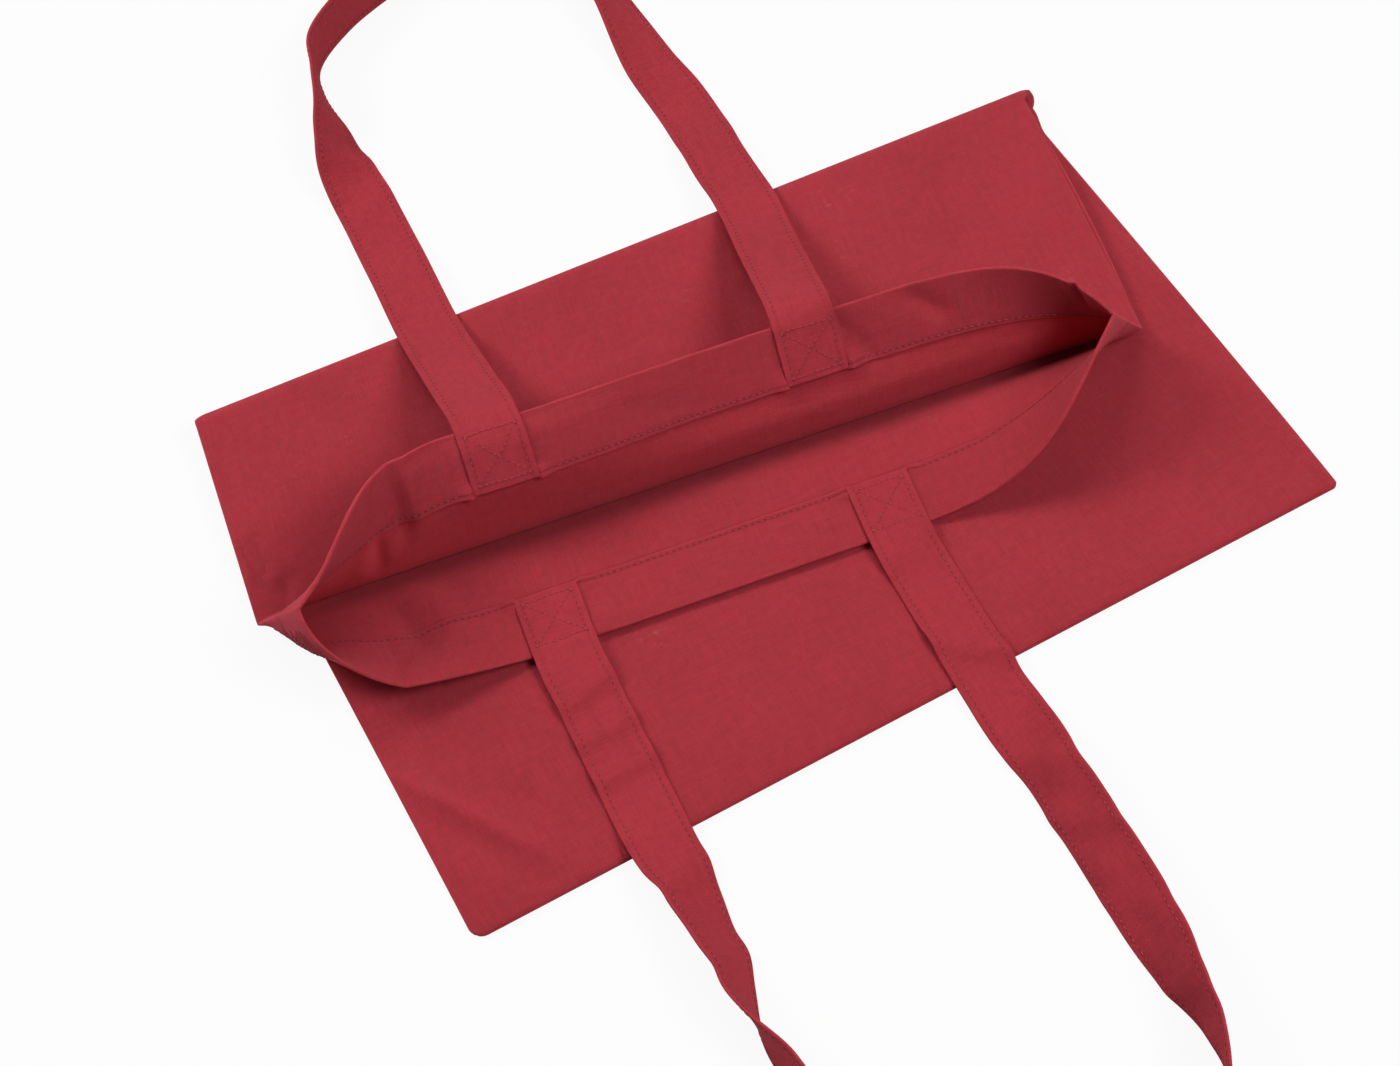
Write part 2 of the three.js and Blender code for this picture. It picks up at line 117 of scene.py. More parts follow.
# Far loops on the table: place between the legs, -1 left to 1 right, and share of the way out
BACK_SPOTS = ((-1, 0.4), (-1, 0.56), (-0.94, 0.646), (-0.9, 0.74), (-0.83, 0.82), (-0.55, 0.895),
              (-0.15, 0.95), (0.38, 1), (0.88, 1), (1.05, 0.88), (0.98, 0.74), (0.966, 0.6), (0.966, 0.47),
              (1, 0.35))
FRONT_SPOTS = ((1, 0.28), (0.995, 0.47), (0.966, 0.63), (0.945, 0.735), (0.83, 0.84), (0.49, 0.95),
               (-0.03, 1), (-0.55, 0.92), (-0.84, 0.76), (-0.95, 0.58), (-1.01, 0.45), (-1.05, 0.35),
               (-1.015, 0.22))

# Soft folds in the cloth: two ends, width, and height off the smooth shape. On the mouth walls the ends are
# cloth distances along the mouth and up from the crease, and on the flat halves they are the bag's X and Y
BACK_MOUTH_FOLDS = ((52, 22, 50, 3, 3.0, -2.4), (360, 50, 363, 36, 2.0, -2.0), (44, 26, 42, 6, 4.0, 1.2),
                    (252, 45, 264, 26, 4.5, -2.4), (284, 46, 298, 34, 4.5, -2.4),
                    (272, 44, 280, 30, 5.0, 0.7), (150, 42, 186, 30, 5.0, -0.6), (110, 14, 150, 20, 5.0, 0.8))
FRONT_MOUTH_FOLDS = ((48, 4, 56, 32, 6.0, -2.8), (64, 8, 72, 30, 6.0, 1.4), (150, 12, 210, 16, 6.0, 0.6),
                     (120, 46, 150, 40, 5.0, 0.8), (286, 40, 300, 18, 6.0, -0.8))
LOWER_FRONT_FOLDS = ((-185, 64, -154, 17, 3.4, 2.4), (-191, 56, -162, 12, 4.0, -1.0),
                     (-151, 57, -141, 32, 4.0, 1.2), (-186, 30, -176, 12, 4.0, 0.5),
                     (60, 40, 140, 30, 14.0, 0.6), (-80, 30, -20, 10, 12.0, 0.5))
UPPER_BACK_FOLDS = ((-199, 180, -198, 166, 3.5, -1.8), (-202, 164, -197, 156, 2.5, -1.4),
                    (-192, 160, -195, 150, 3.0, -1.6), (-150, 196, -60, 170, 16.0, 0.7),
                    (10, 180, 90, 196, 16.0, 0.6), (120, 190, 165, 150, 10.0, 0.5))
# Waves along the straps: place along the route, half length, height and slant
FRONT_STRAP_WAVES = ((54, 5.5, 2.8, -0.7), (80, 5, 0.5, -0.3), (106, 5, 1.2, -0.6), (134, 4.5, 0.9, -0.5),
                     (168, 5, 0.7, -0.5), (204, 4.5, 0.7, -0.4), (505, 7, 2.2, 0.2), (541, 6, 2.0, 0.2),
                     (588, 4.2, 2.4, 0.1), (605, 4.0, 2.2, 0.1), (623, 4.6, 2.6, 0.2))
BACK_STRAP_WAVES = ((112, 9, 1.0, 0.3), (150, 8, 1.6, 0.5), (176, 7, 2.0, -0.5), (520, 9, 1.4, 0.3),
                    (556, 9, 1.0, -0.3))
# Creases across part of the right front leg: place, place across, spread, spread across and height
FRONT_STRAP_BUMPS = ((89, 8, 7, 6, 1.6), (113, -2, 7, 8, 2.2), (126, 6, 5, 6, 1.3), (152, 4, 7, 7, 2.2),
                     (177, -6, 6, 6, 1.5), (198, -4, 7, 8, 2.2), (222, 5, 6, 6, 1.4), (236, -5, 6, 6, 1.6))

FOLD_BACK = np.array([math.sin(FOLD_TILT), math.cos(FOLD_TILT), 0.0])
MOUTH_TURN = -(2 * FOLD_TILT + CREASE_SKEW)
MOUTH_X = np.array([math.cos(MOUTH_TURN), math.sin(MOUTH_TURN), 0.0])
MOUTH_Y = np.array([-math.sin(MOUTH_TURN), math.cos(MOUTH_TURN), 0.0])
UP = np.array([0.0, 0.0, 1.0])
TOP_TURN = -2 * FOLD_TILT
MOUTH_AT = np.array([
    math.cos(TOP_TURN) * CREASE_AT[0] - math.sin(TOP_TURN) * CREASE_AT[1],
    math.sin(TOP_TURN) * CREASE_AT[0] + math.cos(TOP_TURN) * CREASE_AT[1] + FOLD_Y,
    CREASE_AT[2],
])
HEM_START = 1 - HEM / FLAP


def row_frame(points):
    """Bag millimetres to the frame's metres."""
    return (np.asarray(points, float) - (0.0, FOLD_Y / 2, 0.0)) / 1000


def lerp(a, b, t):
    return a + (b - a) * t


def soft(t, low=0.0, high=1.0):
    t = np.clip((t - low) / (high - low), 0, 1)
    return t * t * (3 - 2 * t)


def unit(v):
    return v / np.maximum(np.linalg.norm(v, axis=-1, keepdims=True), 1e-12)


def steps(start, *stretches):
    """Rising places from start, each stretch given as where it ends and how far apart its places are."""
    places = [np.array([start], float)]
    for end, apart in stretches:
        count = max(1, math.ceil((end - start) / apart))
        places.append(np.linspace(start, end, count + 1)[1:])
        start = end
    return np.concatenate(places)


def ripple(a, b, seed, waves=5, low=0.02, high=0.09):
    """Smooth uneven height between about -1 and 1 over two cloth distances in millimetres."""
    rng = np.random.default_rng(seed)
    total = np.zeros(np.broadcast(a, b).shape)
    for _ in range(waves):
        turn, size, shift = rng.uniform(0, math.tau), rng.uniform(low, high), rng.uniform(0, math.tau)
        total = total + np.sin(size * (a * math.cos(turn) + b * math.sin(turn)) + shift)
    return total / waves


def ridges(a, b, lines):
    """Height of soft creases, each given as its two ends, its width and its height."""
    total = np.zeros(np.broadcast(a, b).shape)
    for a0, b0, a1, b1, width, height in lines:
        along = np.array([a1 - a0, b1 - b0])
        length = np.hypot(*along)
        along = along / length
        far = (a - a0) * along[0] + (b - b0) * along[1]
        off = (b - b0) * along[0] - (a - a0) * along[1]
        reach = soft(far, -0.35 * length, 0.25 * length) * (1 - soft(far, 0.75 * length, 1.35 * length))
        total = total + height * reach * np.exp(-((off / width) ** 2))
    return total


# Mouth walls

def opened(distance, reach, ease=0.0):
    d = np.clip(distance / reach, 0, 1)
    return lerp(np.sin(math.pi / 2 * d), d * d * (3 - 2 * d), ease)


def opened_to_bend(distance):
    """The left part of the front wall opens quickly up to its bend, then evenly."""
    quick = FRONT_BEND_OPEN * np.clip(distance / FRONT_BEND, 0, 1) ** 0.7
    past = np.clip((distance - FRONT_BEND) / (FRONT_REACH[0] - FRONT_BEND), 0, 1)
    return quick + (1 - FRONT_BEND_OPEN) * past


def mouth(side, u, s):
    """Inner face of a mouth wall: side 1 back, -1 front, u along the mouth, s from the crease to the rim."""
    if side > 0:
        left = opened(u * BAG_WIDTH, BACK_REACH[0], BACK_EASE[0])
        right = opened((1 - u) * BAG_WIDTH, BACK_REACH[1], BACK_EASE[1])
    else:
        left = opened_to_bend(u * BAG_WIDTH)
        right = opened((1 - u) * BAG_WIDTH, FRONT_REACH[1], FRONT_EASE)
    wide = np.minimum(left, right)
    lean = np.where(u < 0.5, LEFT_SEAM_LEAN, RIGHT_SEAM_LEAN)
    lean = np.radians(lerp(lean, BACK_LEAN if side > 0 else FRONT_LEAN, wide))
    tilt = np.radians(LEFT_SEAM_TILT * (1 - left) - RIGHT_SEAM_TILT * (1 - right))
    length = lerp(SEAM_FLAP, FLAP, wide) * s
    apart = side * opened(np.minimum(u, 1 - u) * BAG_WIDTH, SEAM_PART)
    x = (u - 0.5) * CREASE_LENGTH + length * np.sin(tilt)
    y = CREASE_PART_Y * apart - length * np.cos(tilt) * np.cos(lean)
    z = CREASE_PART_Z * apart + length * np.cos(tilt) * np.sin(lean)
    if side > 0:
        bulge = BACK_BOW * wide * soft(s, 0, BACK_BOW_AT) * (1 - s) / (1 - BACK_BOW_AT)
        y, z = y - bulge * np.sin(lean), z - bulge * np.cos(lean)
    return MOUTH_AT + x[..., None] * MOUTH_X + y[..., None] * MOUTH_Y + z[..., None] * UP


def facing(surface, side, u, s):
    """Point of a mouth wall and its normal to the inner side."""
    d = 5e-4
    across = surface(side, np.minimum(u + d, 1), s) - surface(side, np.maximum(u - d, 0), s)
    along = surface(side, u, s + d) - surface(side, u, s - d)
    return surface(side, u, s), side * unit(np.cross(across, along))


def bow(side, u, s):
    """How far the cloth of a mouth wall stands off its straight line, to the inner side."""
    a, b = u * BAG_WIDTH, s * FLAP
    if side > 0:
        wave = 0.6 * ripple(a, b, 4) + ridges(a, b, BACK_MOUTH_FOLDS)
        # The hem steps to the inner side on the way to the left strap, and lies down again past it
        step = (0.6 * soft(a, 62, 70) + 0.4 * soft(a, 70, 116)) * (1 - soft(a, 122, 195))
        wave = wave + HEM_STEP * step * soft(b, 10, 26) * (1 - 0.35 * soft(b, 40, FLAP))
        bag_out = 0.0
    else:
        wave = 0.7 * ripple(a, b, 5, low=0.015, high=0.06) + ridges(a, b, FRONT_MOUTH_FOLDS)
        # Beside the left seam the outer side bags out under the corner
        corner = np.exp(-(((a - 12) / 9.0) ** 2))
        bag_out = CORNER_BAG * corner * np.sin(math.pi * np.clip(s, 0, 1)) ** 0.7 * soft(a, 0, 5)
    free = soft(a, 0, SEAM_FREE) * soft((1 - u) * BAG_WIDTH, 0, SEAM_FREE)
    return wave * free * soft(s, 0, 0.3) - bag_out


def pucker(side, u, s):
    """Small gathers that the hem's stitch row pulls into the cloth."""
    a, b = u * BAG_WIDTH, (s - HEM_START) * FLAP - HEM_ROW
    near = np.exp(-np.abs(b) / 5.0)
    fine = ripple(a, 0.25 * b, 21 + side, waves=6, low=0.5, high=1.1)
    return 0.16 * near * fine - 0.1 * np.exp(-((b / 0.8) ** 2))


def mouth_wall(side, u, s):
    flat, inward = facing(mouth, side, u, s)
    return flat + inward * (bow(side, u, s) + pucker(side, u, s))[..., None]


def on_wall(side, u, s, height):
    """Point over a mouth wall's inner face, and the normal there."""
    u, s, height = np.broadcast_arrays(np.asarray(u, float), s, height)
    p, inward = facing(mouth_wall, side, u, s)
    return p + inward * height[..., None], inward


def outside_wall(side, u, s, height):
    """Point off a mouth wall's outer face, and the normal there to the outer side."""
    p, inward = on_wall(side, u, s, height)
    return p, -inward


# Meshes

EDGES = ((0, 1), (-1, -2))      # first and last line of a grid, each with the line inside it
EDGE_TURNS = np.radians([54, 18, -18, -54])
SHARP = math.radians(55)


def grid_normal(grid):
    """Normals of a grid: across the columns, then along the rows, right-handed."""
    return unit(np.cross(np.gradient(grid, axis=1), np.gradient(grid, axis=0)))


def cloth(grid, uv, thick, pale_and_shade=0.0, **marks):
    """A sheet as a grid of middle points, with each point's cloth place, half thickness, and paleness above
    zero and painted shade below.
    """
    size = grid.shape[:2]
    return dict(grid=grid, normal=grid_normal(grid), uv=uv, thick=np.broadcast_to(thick, size),
                pale_and_shade=np.broadcast_to(pale_and_shade, size), **marks)


def cut_back(grid, flat_ends, flat_sides):
    """Cut ends and sides set a hair back from the piece they meet."""
    grid = grid.copy()
    for flat, lines in ((flat_ends, grid), (flat_sides, grid.swapaxes(0, 1))):
        for k in flat:
            edge, inner = EDGES[k]
            lines[edge] += CUT_GAP * unit(lines[inner] - lines[edge])
    return grid


def closed_sheet(name, sheet, part=np.s_[:], flat_ends=(), flat_sides=()):
    """Closed cloth round a part of a sheet. Its edges are round, apart from the cut ones: 0 first, 1 last."""
    grid, normal, uv, thick, pale_and_shade = (sheet[key][part] for key in ("grid", "normal", "uv", "thick", "pale_and_shade"))
    grid = cut_back(grid, flat_ends, flat_sides)
    out = np.zeros(grid.shape)
    for flat, lines, way in ((flat_ends, grid, out), (flat_sides, grid.swapaxes(0, 1), out.swapaxes(0, 1))):
        for k, (edge, inner) in enumerate(EDGES):
            if k not in flat:
                way[edge] += unit(lines[edge] - lines[inner])
    out = out / np.maximum(np.linalg.norm(out, axis=-1, keepdims=True), 1.0)
    rows, cols = grid.shape[:2]
    count = rows * cols
    index = np.arange(count).reshape(rows, cols)
    a, b, c, d = (index[:-1, :-1], index[:-1, 1:], index[1:, 1:], index[1:, :-1])
    faces = [np.stack([a, b, c, d], -1).reshape(-1, 4), count + np.stack([a, d, c, b], -1).reshape(-1, 4)]
    loop = np.concatenate([index[0, :-1], index[:-1, -1], index[-1, :0:-1], index[:0:-1, 0]])
    middle, up, out, radius, uv, pale_and_shade = (v.reshape(count, -1) for v in (grid, normal, out, thick, uv, pale_and_shade))
    points, places, tone_marks = [middle + up * radius, middle - up * radius], [uv, uv], [pale_and_shade, pale_and_shade]
    rings, n = [loop], len(loop)
    for k, turn in enumerate(EDGE_TURNS):
        around = out[loop] * math.cos(turn) + up[loop] * math.sin(turn)
        points.append(middle[loop] + radius[loop] * around)
        places.append(uv[loop])
        tone_marks.append(pale_and_shade[loop])
        rings.append(2 * count + k * n + np.arange(n))
    rings.append(count + loop)
    for high, low in zip(rings, rings[1:]):
        faces.append(np.stack([high, low, np.roll(low, -1), np.roll(high, -1)], -1))
    points, faces, places, tone_marks = (np.concatenate(v) for v in (points, faces, places, tone_marks))
    return plain_mesh(name, points, faces, places / 1000, tone_marks)


def linked(name, data):
    """New object for a mesh, lamp or camera, in the scene."""
    made = bpy.data.objects.new(name, data)
    bpy.context.scene.collection.objects.link(made)
    return made


def plain_mesh(name, points, faces, uv, pale_and_shade):
    mesh = bpy.data.meshes.new(name)
    mesh.vertices.add(len(points))
    mesh.vertices.foreach_set("co", row_frame(points).astype(np.float32).ravel())
    mesh.loops.add(faces.size)
    mesh.loops.foreach_set("vertex_index", faces.astype(np.int32).ravel())
    mesh.polygons.add(len(faces))
    mesh.polygons.foreach_set("loop_start", np.arange(0, faces.size, 4, dtype=np.int32))
    mesh.update(calc_edges=True)
    layer = mesh.uv_layers.new(name="cloth")
    layer.data.foreach_set("uv", uv[faces.ravel()].astype(np.float32).ravel())
    # Paleness above zero and painted shade below, read by the cotton's colour
    tone_marks = mesh.attributes.new("pale_and_shade", "FLOAT", "POINT")
    tone_marks.data.foreach_set("value", pale_and_shade.astype(np.float32).ravel())
    mesh.validate()
    mesh.shade_smooth()
    mesh.set_sharp_from_angle(angle=SHARP)
    return linked(name, mesh)


def cloth_uv(grid, across):
    """Cloth distances in millimetres: across the columns as given, along the rows as measured."""
    step = np.linalg.norm(np.diff(grid, axis=0), axis=-1).mean(axis=1)
    along = np.concatenate([[0.0], np.cumsum(step)])
    return np.stack(np.broadcast_arrays(across[None, :], along[:, None]), -1), along


def smoothed(grid, low, high, times):
    """Rounds a stretch of rows off."""
    grid = grid.copy()
    for _ in range(times):
        part = grid[low - 1:high + 1]
        grid[low:high] = (part[:-2] + 2 * part[1:-1] + part[2:]) / 4
    return grid


# Walls of the bag

share = np.linspace(0, 1, 241)
share = share - 0.6 * np.sin(math.tau * share) / math.tau
width_mm = share * BAG_WIDTH
from_side = np.minimum(width_mm, BAG_WIDTH - width_mm)
LOWER_AT = steps(0, (6, 0.75), (206, 2.4), (FOLD_Y, 1.8)) / FOLD_Y
TURN_AT = np.linspace(-math.pi / 2, math.pi / 2, 25)[1:-1]
UPPER_AT = steps(0, (12, 1.6), (92, 2.4), (101, 1.2), (UPPER_LENGTH, 0.5)) / UPPER_LENGTH
RIM_AT = 1 - HEM_LAYER / FLAP
RIM_TURN = np.radians([-60, -30, 0, 30, 60])
FAR = 999.0


def fold_y(x):
    return FOLD_Y - x * math.tan(FOLD_TILT)


def edge_x(t):
    """Left and right edge of the lower half, at a share of the way to the fold."""
    right = lerp(HALF, FOLD_RIGHT[0], t ** 1.2) + RIGHT_CURL * soft(t, 0.93, 1)
    return -lerp(HALF, FOLD_LEFT[0], t ** 1.2), right


def lower_rows(z):
    rows = np.zeros((len(LOWER_AT), len(share), 3))
    rows[..., 0] = lerp(*edge_x(LOWER_AT[:, None]), share)
    rows[..., 1] = LOWER_AT[:, None] * fold_y(rows[..., 0])
    rows[..., 2] = z
    for sign, round_off in zip((-1, 1), BOTTOM_CORNERS):
        # A square corner of this size is pressed to a quarter circle
        a = np.clip((round_off - (HALF - sign * rows[..., 0])) / round_off, 0, 1)
        b = np.clip((round_off - rows[..., 1]) / round_off, 0, 1)
        rows[..., 0] += sign * round_off * (a * np.sqrt(1 - b * b / 2) - a)
        rows[..., 1] -= round_off * (b * np.sqrt(1 - a * a / 2) - b)
    return rows


def turn_rows(radius):
    up = (1 + np.sin(TURN_AT[:, None])) / 2
    flare = FOLD_FLARE * np.cos(TURN_AT[:, None]) + RIGHT_CURL * (1 - up) ** 2
    x = lerp(-lerp(*FOLD_LEFT, up), lerp(*FOLD_RIGHT, up) + flare * share ** 4, share)
    base = np.stack([x, fold_y(x), np.full_like(x, FOLD_Z)], -1)
    lift = radius * np.sin(TURN_AT)[:, None, None] * UP
    return base + lift + radius * np.cos(TURN_AT)[:, None, None] * FOLD_BACK


def upper_rows(fold_height, crease_height, back, past):
    x = lerp(-FOLD_LEFT[1], FOLD_RIGHT[1], share)
    on_fold = np.stack([x, fold_y(x), np.full_like(x, fold_height)], -1)
    x = (share - 0.5) * CREASE_LENGTH
    on_crease = MOUTH_AT + x[:, None] * MOUTH_X + back * MOUTH_Y + crease_height * UP
    rows = lerp(on_fold, on_crease, UPPER_AT[:, None, None])
    rows[..., 0] += past * np.sin(math.pi * UPPER_AT)[:, None] * share ** 8
    return rows


def hem_lift(side, u):
    """How far the hem's edge gapes beside the sewn strap ends."""
    total = np.zeros_like(u)
    for place in BACK_STRAPS if side > 0 else FRONT_STRAPS:
        off = np.abs((u - 0.5) * CREASE_LENGTH - place) - STRAP_WIDTH / 2
        total = total + np.exp(-((off / 4.0) ** 2)) * soft(off, -0.4, 1.2)
    return total


def mouth_rows(side):
    """Rows up a mouth wall's outer layer, over the rim and back down the hem on its inner side."""
    up = steps(0.6, (3, 0.6), (22, 2.0), (28.6, 0.6), (46, 2.2), (RIM_AT * FLAP, 0.7))
    down = steps(FLAP - RIM_AT * FLAP, (3, 0.7), (19.5, 2.2), (HEM, 0.5))
    places = [(d / FLAP, OUTER_LAYER, 0.0) for d in up]
    places += [(RIM_AT + RIM_ROUND * math.cos(t) / FLAP, RIM_MIDDLE + RIM_ROUND * math.sin(t), 0.0)
               for t in RIM_TURN]
    places += [(1 - d / FLAP, HEM_LAYER, HEM_GAPE * soft(d, 17, HEM)) for d in down]
    s, h, gape = np.array(places).T
    lift = hem_lift(side, share)
    # Painted shade where the stitch row draws the cloth in, and in the corner under the hem's edge, deeper
    # where the hem gapes beside the straps
    painted_shade = np.exp(-(((s - HEM_START) * FLAP - HEM_ROW) / 0.45) ** 2)
    painted_shade = np.repeat(painted_shade[:, None], len(share), 1)
    under = np.exp(-((up - HEM_START * FLAP + 0.4) / 0.8) ** 2)
    painted_shade[:len(up)] += under[:, None] * (0.5 + 1.2 * lift)
    height = h[:, None] + gape[:, None] * lift
    return on_wall(side, share[None, :], s[:, None], height)[0], len(up), painted_shade


def lips(grid, inner, from_bottom, fade):
    """Side and bottom edges pulled in to the seam between the walls."""
    near = np.minimum(from_side[None, :], from_bottom[:, None])
    draw = LIP * np.clip(1 - near / LIP_REACH, 0, 1) ** 2 * fade[:, None]
    return grid + inner * draw[..., None]


def whole_wall(side, base_z, radius, crease_height, back, lines_low, lines_up):
    """One wall of the bag, from its bottom edge round the fold and the mouth to the hem's edge."""
    low, turn = lower_rows(base_z), turn_rows(radius)
    # The front wall shows past the back wall on the right
    up = upper_rows(FOLD_Z + radius, crease_height, back, 1.0 - side)[:-1]
    flap, over, painted_shade = mouth_rows(side)
    grid = np.concatenate([low, turn, up, flap])
    turned = len(low) + len(turn)
    crease = turned + len(up)
    rim = crease + over + 2
    # The crease is rounded off, apart from its ends at the side seams
    rounded = smoothed(grid, crease - 7, crease + 6, 4 if side > 0 else 2)
    grid = lerp(grid, rounded, soft(from_side, 0, 5)[None, :, None])
    inner = side * grid_normal(grid)
    from_bottom = np.concatenate([LOWER_AT * FOLD_Y, np.full(len(grid) - len(low), FAR)])
    rows = np.arange(len(grid))
    grid = lips(grid, inner, from_bottom, 1 - soft(rows, crease - 8, crease + 3))
    # Folds and unevenness of the two flat halves, which end before the fold and the crease
    x, y = grid[..., 0], grid[..., 1]
    inside = soft(from_side, 2, 14)
    height = np.zeros(grid.shape[:2])
    uneven = ridges(x, y, lines_low) + 0.125 * (1 - side) * inside * ripple(x, y, 31)
    ends = soft(LOWER_AT, 0.0, 0.04) * (1 - soft(LOWER_AT, 0.9, 1))
    height[:len(low)] = uneven[:len(low)] * ends[:, None]
    flat = crease - 4
    uneven = ridges(x, y, lines_up) + 0.25 * inside * ripple(x, y, 41 + side)
    uneven = uneven * soft(rows, turned, turned + 8)[:, None] * (1 - soft(rows, flat - 8, flat))[:, None]
    height[turned:flat] = uneven[turned:flat]
    grid = grid - inner * height[..., None]
    uv, along = cloth_uv(grid, width_mm)
    # Paler along the side edges and the rim, with painted shade along the bottom edge
    pale_and_shade = EDGE_PALE * np.exp(-from_side[None, :] / 0.8) - BOTTOM_DARK * np.exp(-from_bottom[:, None] / 0.6)
    pale_and_shade = pale_and_shade + EDGE_PALE * np.exp(-((along[:, None] - along[rim]) / 0.6) ** 2)
    pale_and_shade[crease:] -= painted_shade
    # Dark along the crease, where little light comes between the walls
    deep, reach = BACK_CREASE_DARK if side > 0 else FRONT_CREASE_DARK
    within = np.exp(-((along - along[crease]) / reach) ** 2)
    pale_and_shade = pale_and_shade - deep * within[:, None] * soft(from_side[None, :], 5, 40)
    return cloth(grid, uv, CLOTH / 2, np.clip(pale_and_shade, -1, 1), low=len(low), turned=turned, crease=crease,
                 rim=rim)


def sew_sides(back, front):
    """Side edges of the mouth drawn together where the side seams join the walls."""
    rows = np.arange(len(back["grid"]))
    crease, rim = back["crease"], back["rim"]
    joined = soft(rows, crease - 14, crease - 8) * (rows <= rim)
    for edge, from_edge in ((0, width_mm), (-1, BAG_WIDTH - width_mm)):
        apart = front["grid"][:, edge] - back["grid"][:, edge]
        pull = apart * np.clip(1 - SEWN_APART / np.linalg.norm(apart, axis=-1), 0, 1)[:, None] / 2
        near = joined[:, None] * np.clip(1 - from_edge / SEWN_REACH, 0, 1)[None, :] ** 2
        back["grid"] = back["grid"] + near[..., None] * pull[:, None]
        front["grid"] = front["grid"] - near[..., None] * pull[:, None]
    for wall in (back, front):
        wall["normal"] = grid_normal(wall["grid"])


back = whole_wall(1, BACK_BASE_Z, BACK_FOLD, *BACK_CREASE, [], UPPER_BACK_FOLDS)
front = whole_wall(-1, FRONT_BASE_Z, FRONT_FOLD, *FRONT_CREASE, LOWER_FRONT_FOLDS, [])
sew_sides(back, front)

crease, lower_end, turned = back["crease"], front["low"] - 1, front["turned"]
back_wall = closed_sheet("back_wall", back, np.s_[:crease + 1], flat_ends=(1,))
# The back wall of the mouth is three pieces: its middle and its two ends along the mouth
CUT_LEFT, CUT_RIGHT = (int(np.argmin(np.abs(width_mm - a))) for a in (84, 304))
back_mouth = closed_sheet("back_mouth_wall", back, np.s_[crease:, CUT_LEFT:CUT_RIGHT + 1],
                          flat_ends=(0,), flat_sides=(0, 1))
back_mouth_left = closed_sheet("back_mouth_wall_left", back, np.s_[crease:, :CUT_LEFT + 1],
                               flat_ends=(0,), flat_sides=(1,))
back_mouth_right = closed_sheet("back_mouth_wall_right", back, np.s_[crease:, CUT_RIGHT:],
                                flat_ends=(0,), flat_sides=(0,))
front_lower = closed_sheet("front_wall_lower", front, np.s_[:lower_end + 1], flat_ends=(1,))
front_turn = closed_sheet("front_wall_fold", front, np.s_[lower_end:turned + 1], flat_ends=(0, 1))
front_mouth = closed_sheet("front_mouth_wall", front, np.s_[turned:], flat_ends=(0,))


# Seam allowances inside the bag

SEAM_ACROSS = np.array([0.0, 2.0, 4.0, 5.5, 7.0, 8.0])
LOWER_SEAM_Z = 1.5


def seam_strip(middle, across):
    """Narrow strip between two walls: its line along the seam, and the way across it."""
    grid = middle[:, None, :] + SEAM_ACROSS[None, :, None] * across
    along = np.arange(len(middle))[:, None] * 2.0
    uv = np.stack(np.broadcast_arrays(SEAM_ACROSS[None, :], along), -1)
    return closed_sheet("seam", cloth(grid, uv, SEAM_HALF))


def lower_side_seam(sign):
    t = np.linspace(0.04, 0.995, 90)
    x = edge_x(t)[0 if sign < 0 else 1] - SEAM_INSET * sign
    return seam_strip(np.stack([x, t * fold_y(x), np.full_like(x, LOWER_SEAM_Z)], -1),
                      np.array([-sign, 0.0, 0.0]))


def upper_side_seam(sign):
    t = np.linspace(0.01, 0.96, 50)[:, None]
    x = SEAM_INSET - FOLD_LEFT[1] if sign < 0 else FOLD_RIGHT[1] - SEAM_INSET
    on_fold = np.array([x, fold_y(x), FOLD_Z + 5.1])
    on_crease = MOUTH_AT + sign * (CREASE_LENGTH / 2 - SEAM_INSET) * MOUTH_X + MOUTH_Y
    return seam_strip(lerp(on_fold, on_crease, t), -sign * MOUTH_X)


def bottom_seam():
    x = np.linspace(-HALF + 3, HALF - 3, 150)
    return seam_strip(np.stack([x, np.full_like(x, SEAM_INSET), np.full_like(x, LOWER_SEAM_Z)], -1),
                      np.array([0.0, 1.0, 0.0]))


def joined(name, pieces):
    bpy.ops.object.select_all(action="DESELECT")
    for piece in pieces:
        piece.select_set(True)
    bpy.context.view_layer.objects.active = pieces[0]
    bpy.ops.object.join()
    pieces[0].name = pieces[0].data.name = name
    return pieces[0]


lower_seams = joined("lower_seam_allowances", [lower_side_seam(-1), lower_side_seam(1), bottom_seam()])
upper_seams = joined("upper_seam_allowances", [upper_side_seam(-1), upper_side_seam(1)])


# Handles

STRAP_AT = np.array([0.0, 1.6, 3.2, 4.9, 6.4, 7.6, 8.6, 9.2, 9.6, STRAP_ROW, 10.4, 11.0, 11.7, STRAP_HALF])
STRAP_AT = np.concatenate([-STRAP_AT[:0:-1], STRAP_AT])
FROM_ROW = np.abs(STRAP_AT) - STRAP_ROW
# Half thickness across a strap, soft in the middle and pulled in along its two stitch rows, and painted shade
# along those rows
STRAP_HALVES = 0.62 - 0.03 * np.exp(-((FROM_ROW / 0.55) ** 2)) + 0.06 * (1 - (STRAP_AT / STRAP_HALF) ** 2)
STRAP_ROW_SHADE = -0.25 * np.exp(-((FROM_ROW / 0.5) ** 2))
SEWN_AT = steps(HEM_START * FLAP + 0.6, (HEM_START * FLAP + 2, 0.7), (45, 1.5), (49, 1.0)) / FLAP
SEWN = len(SEWN_AT)


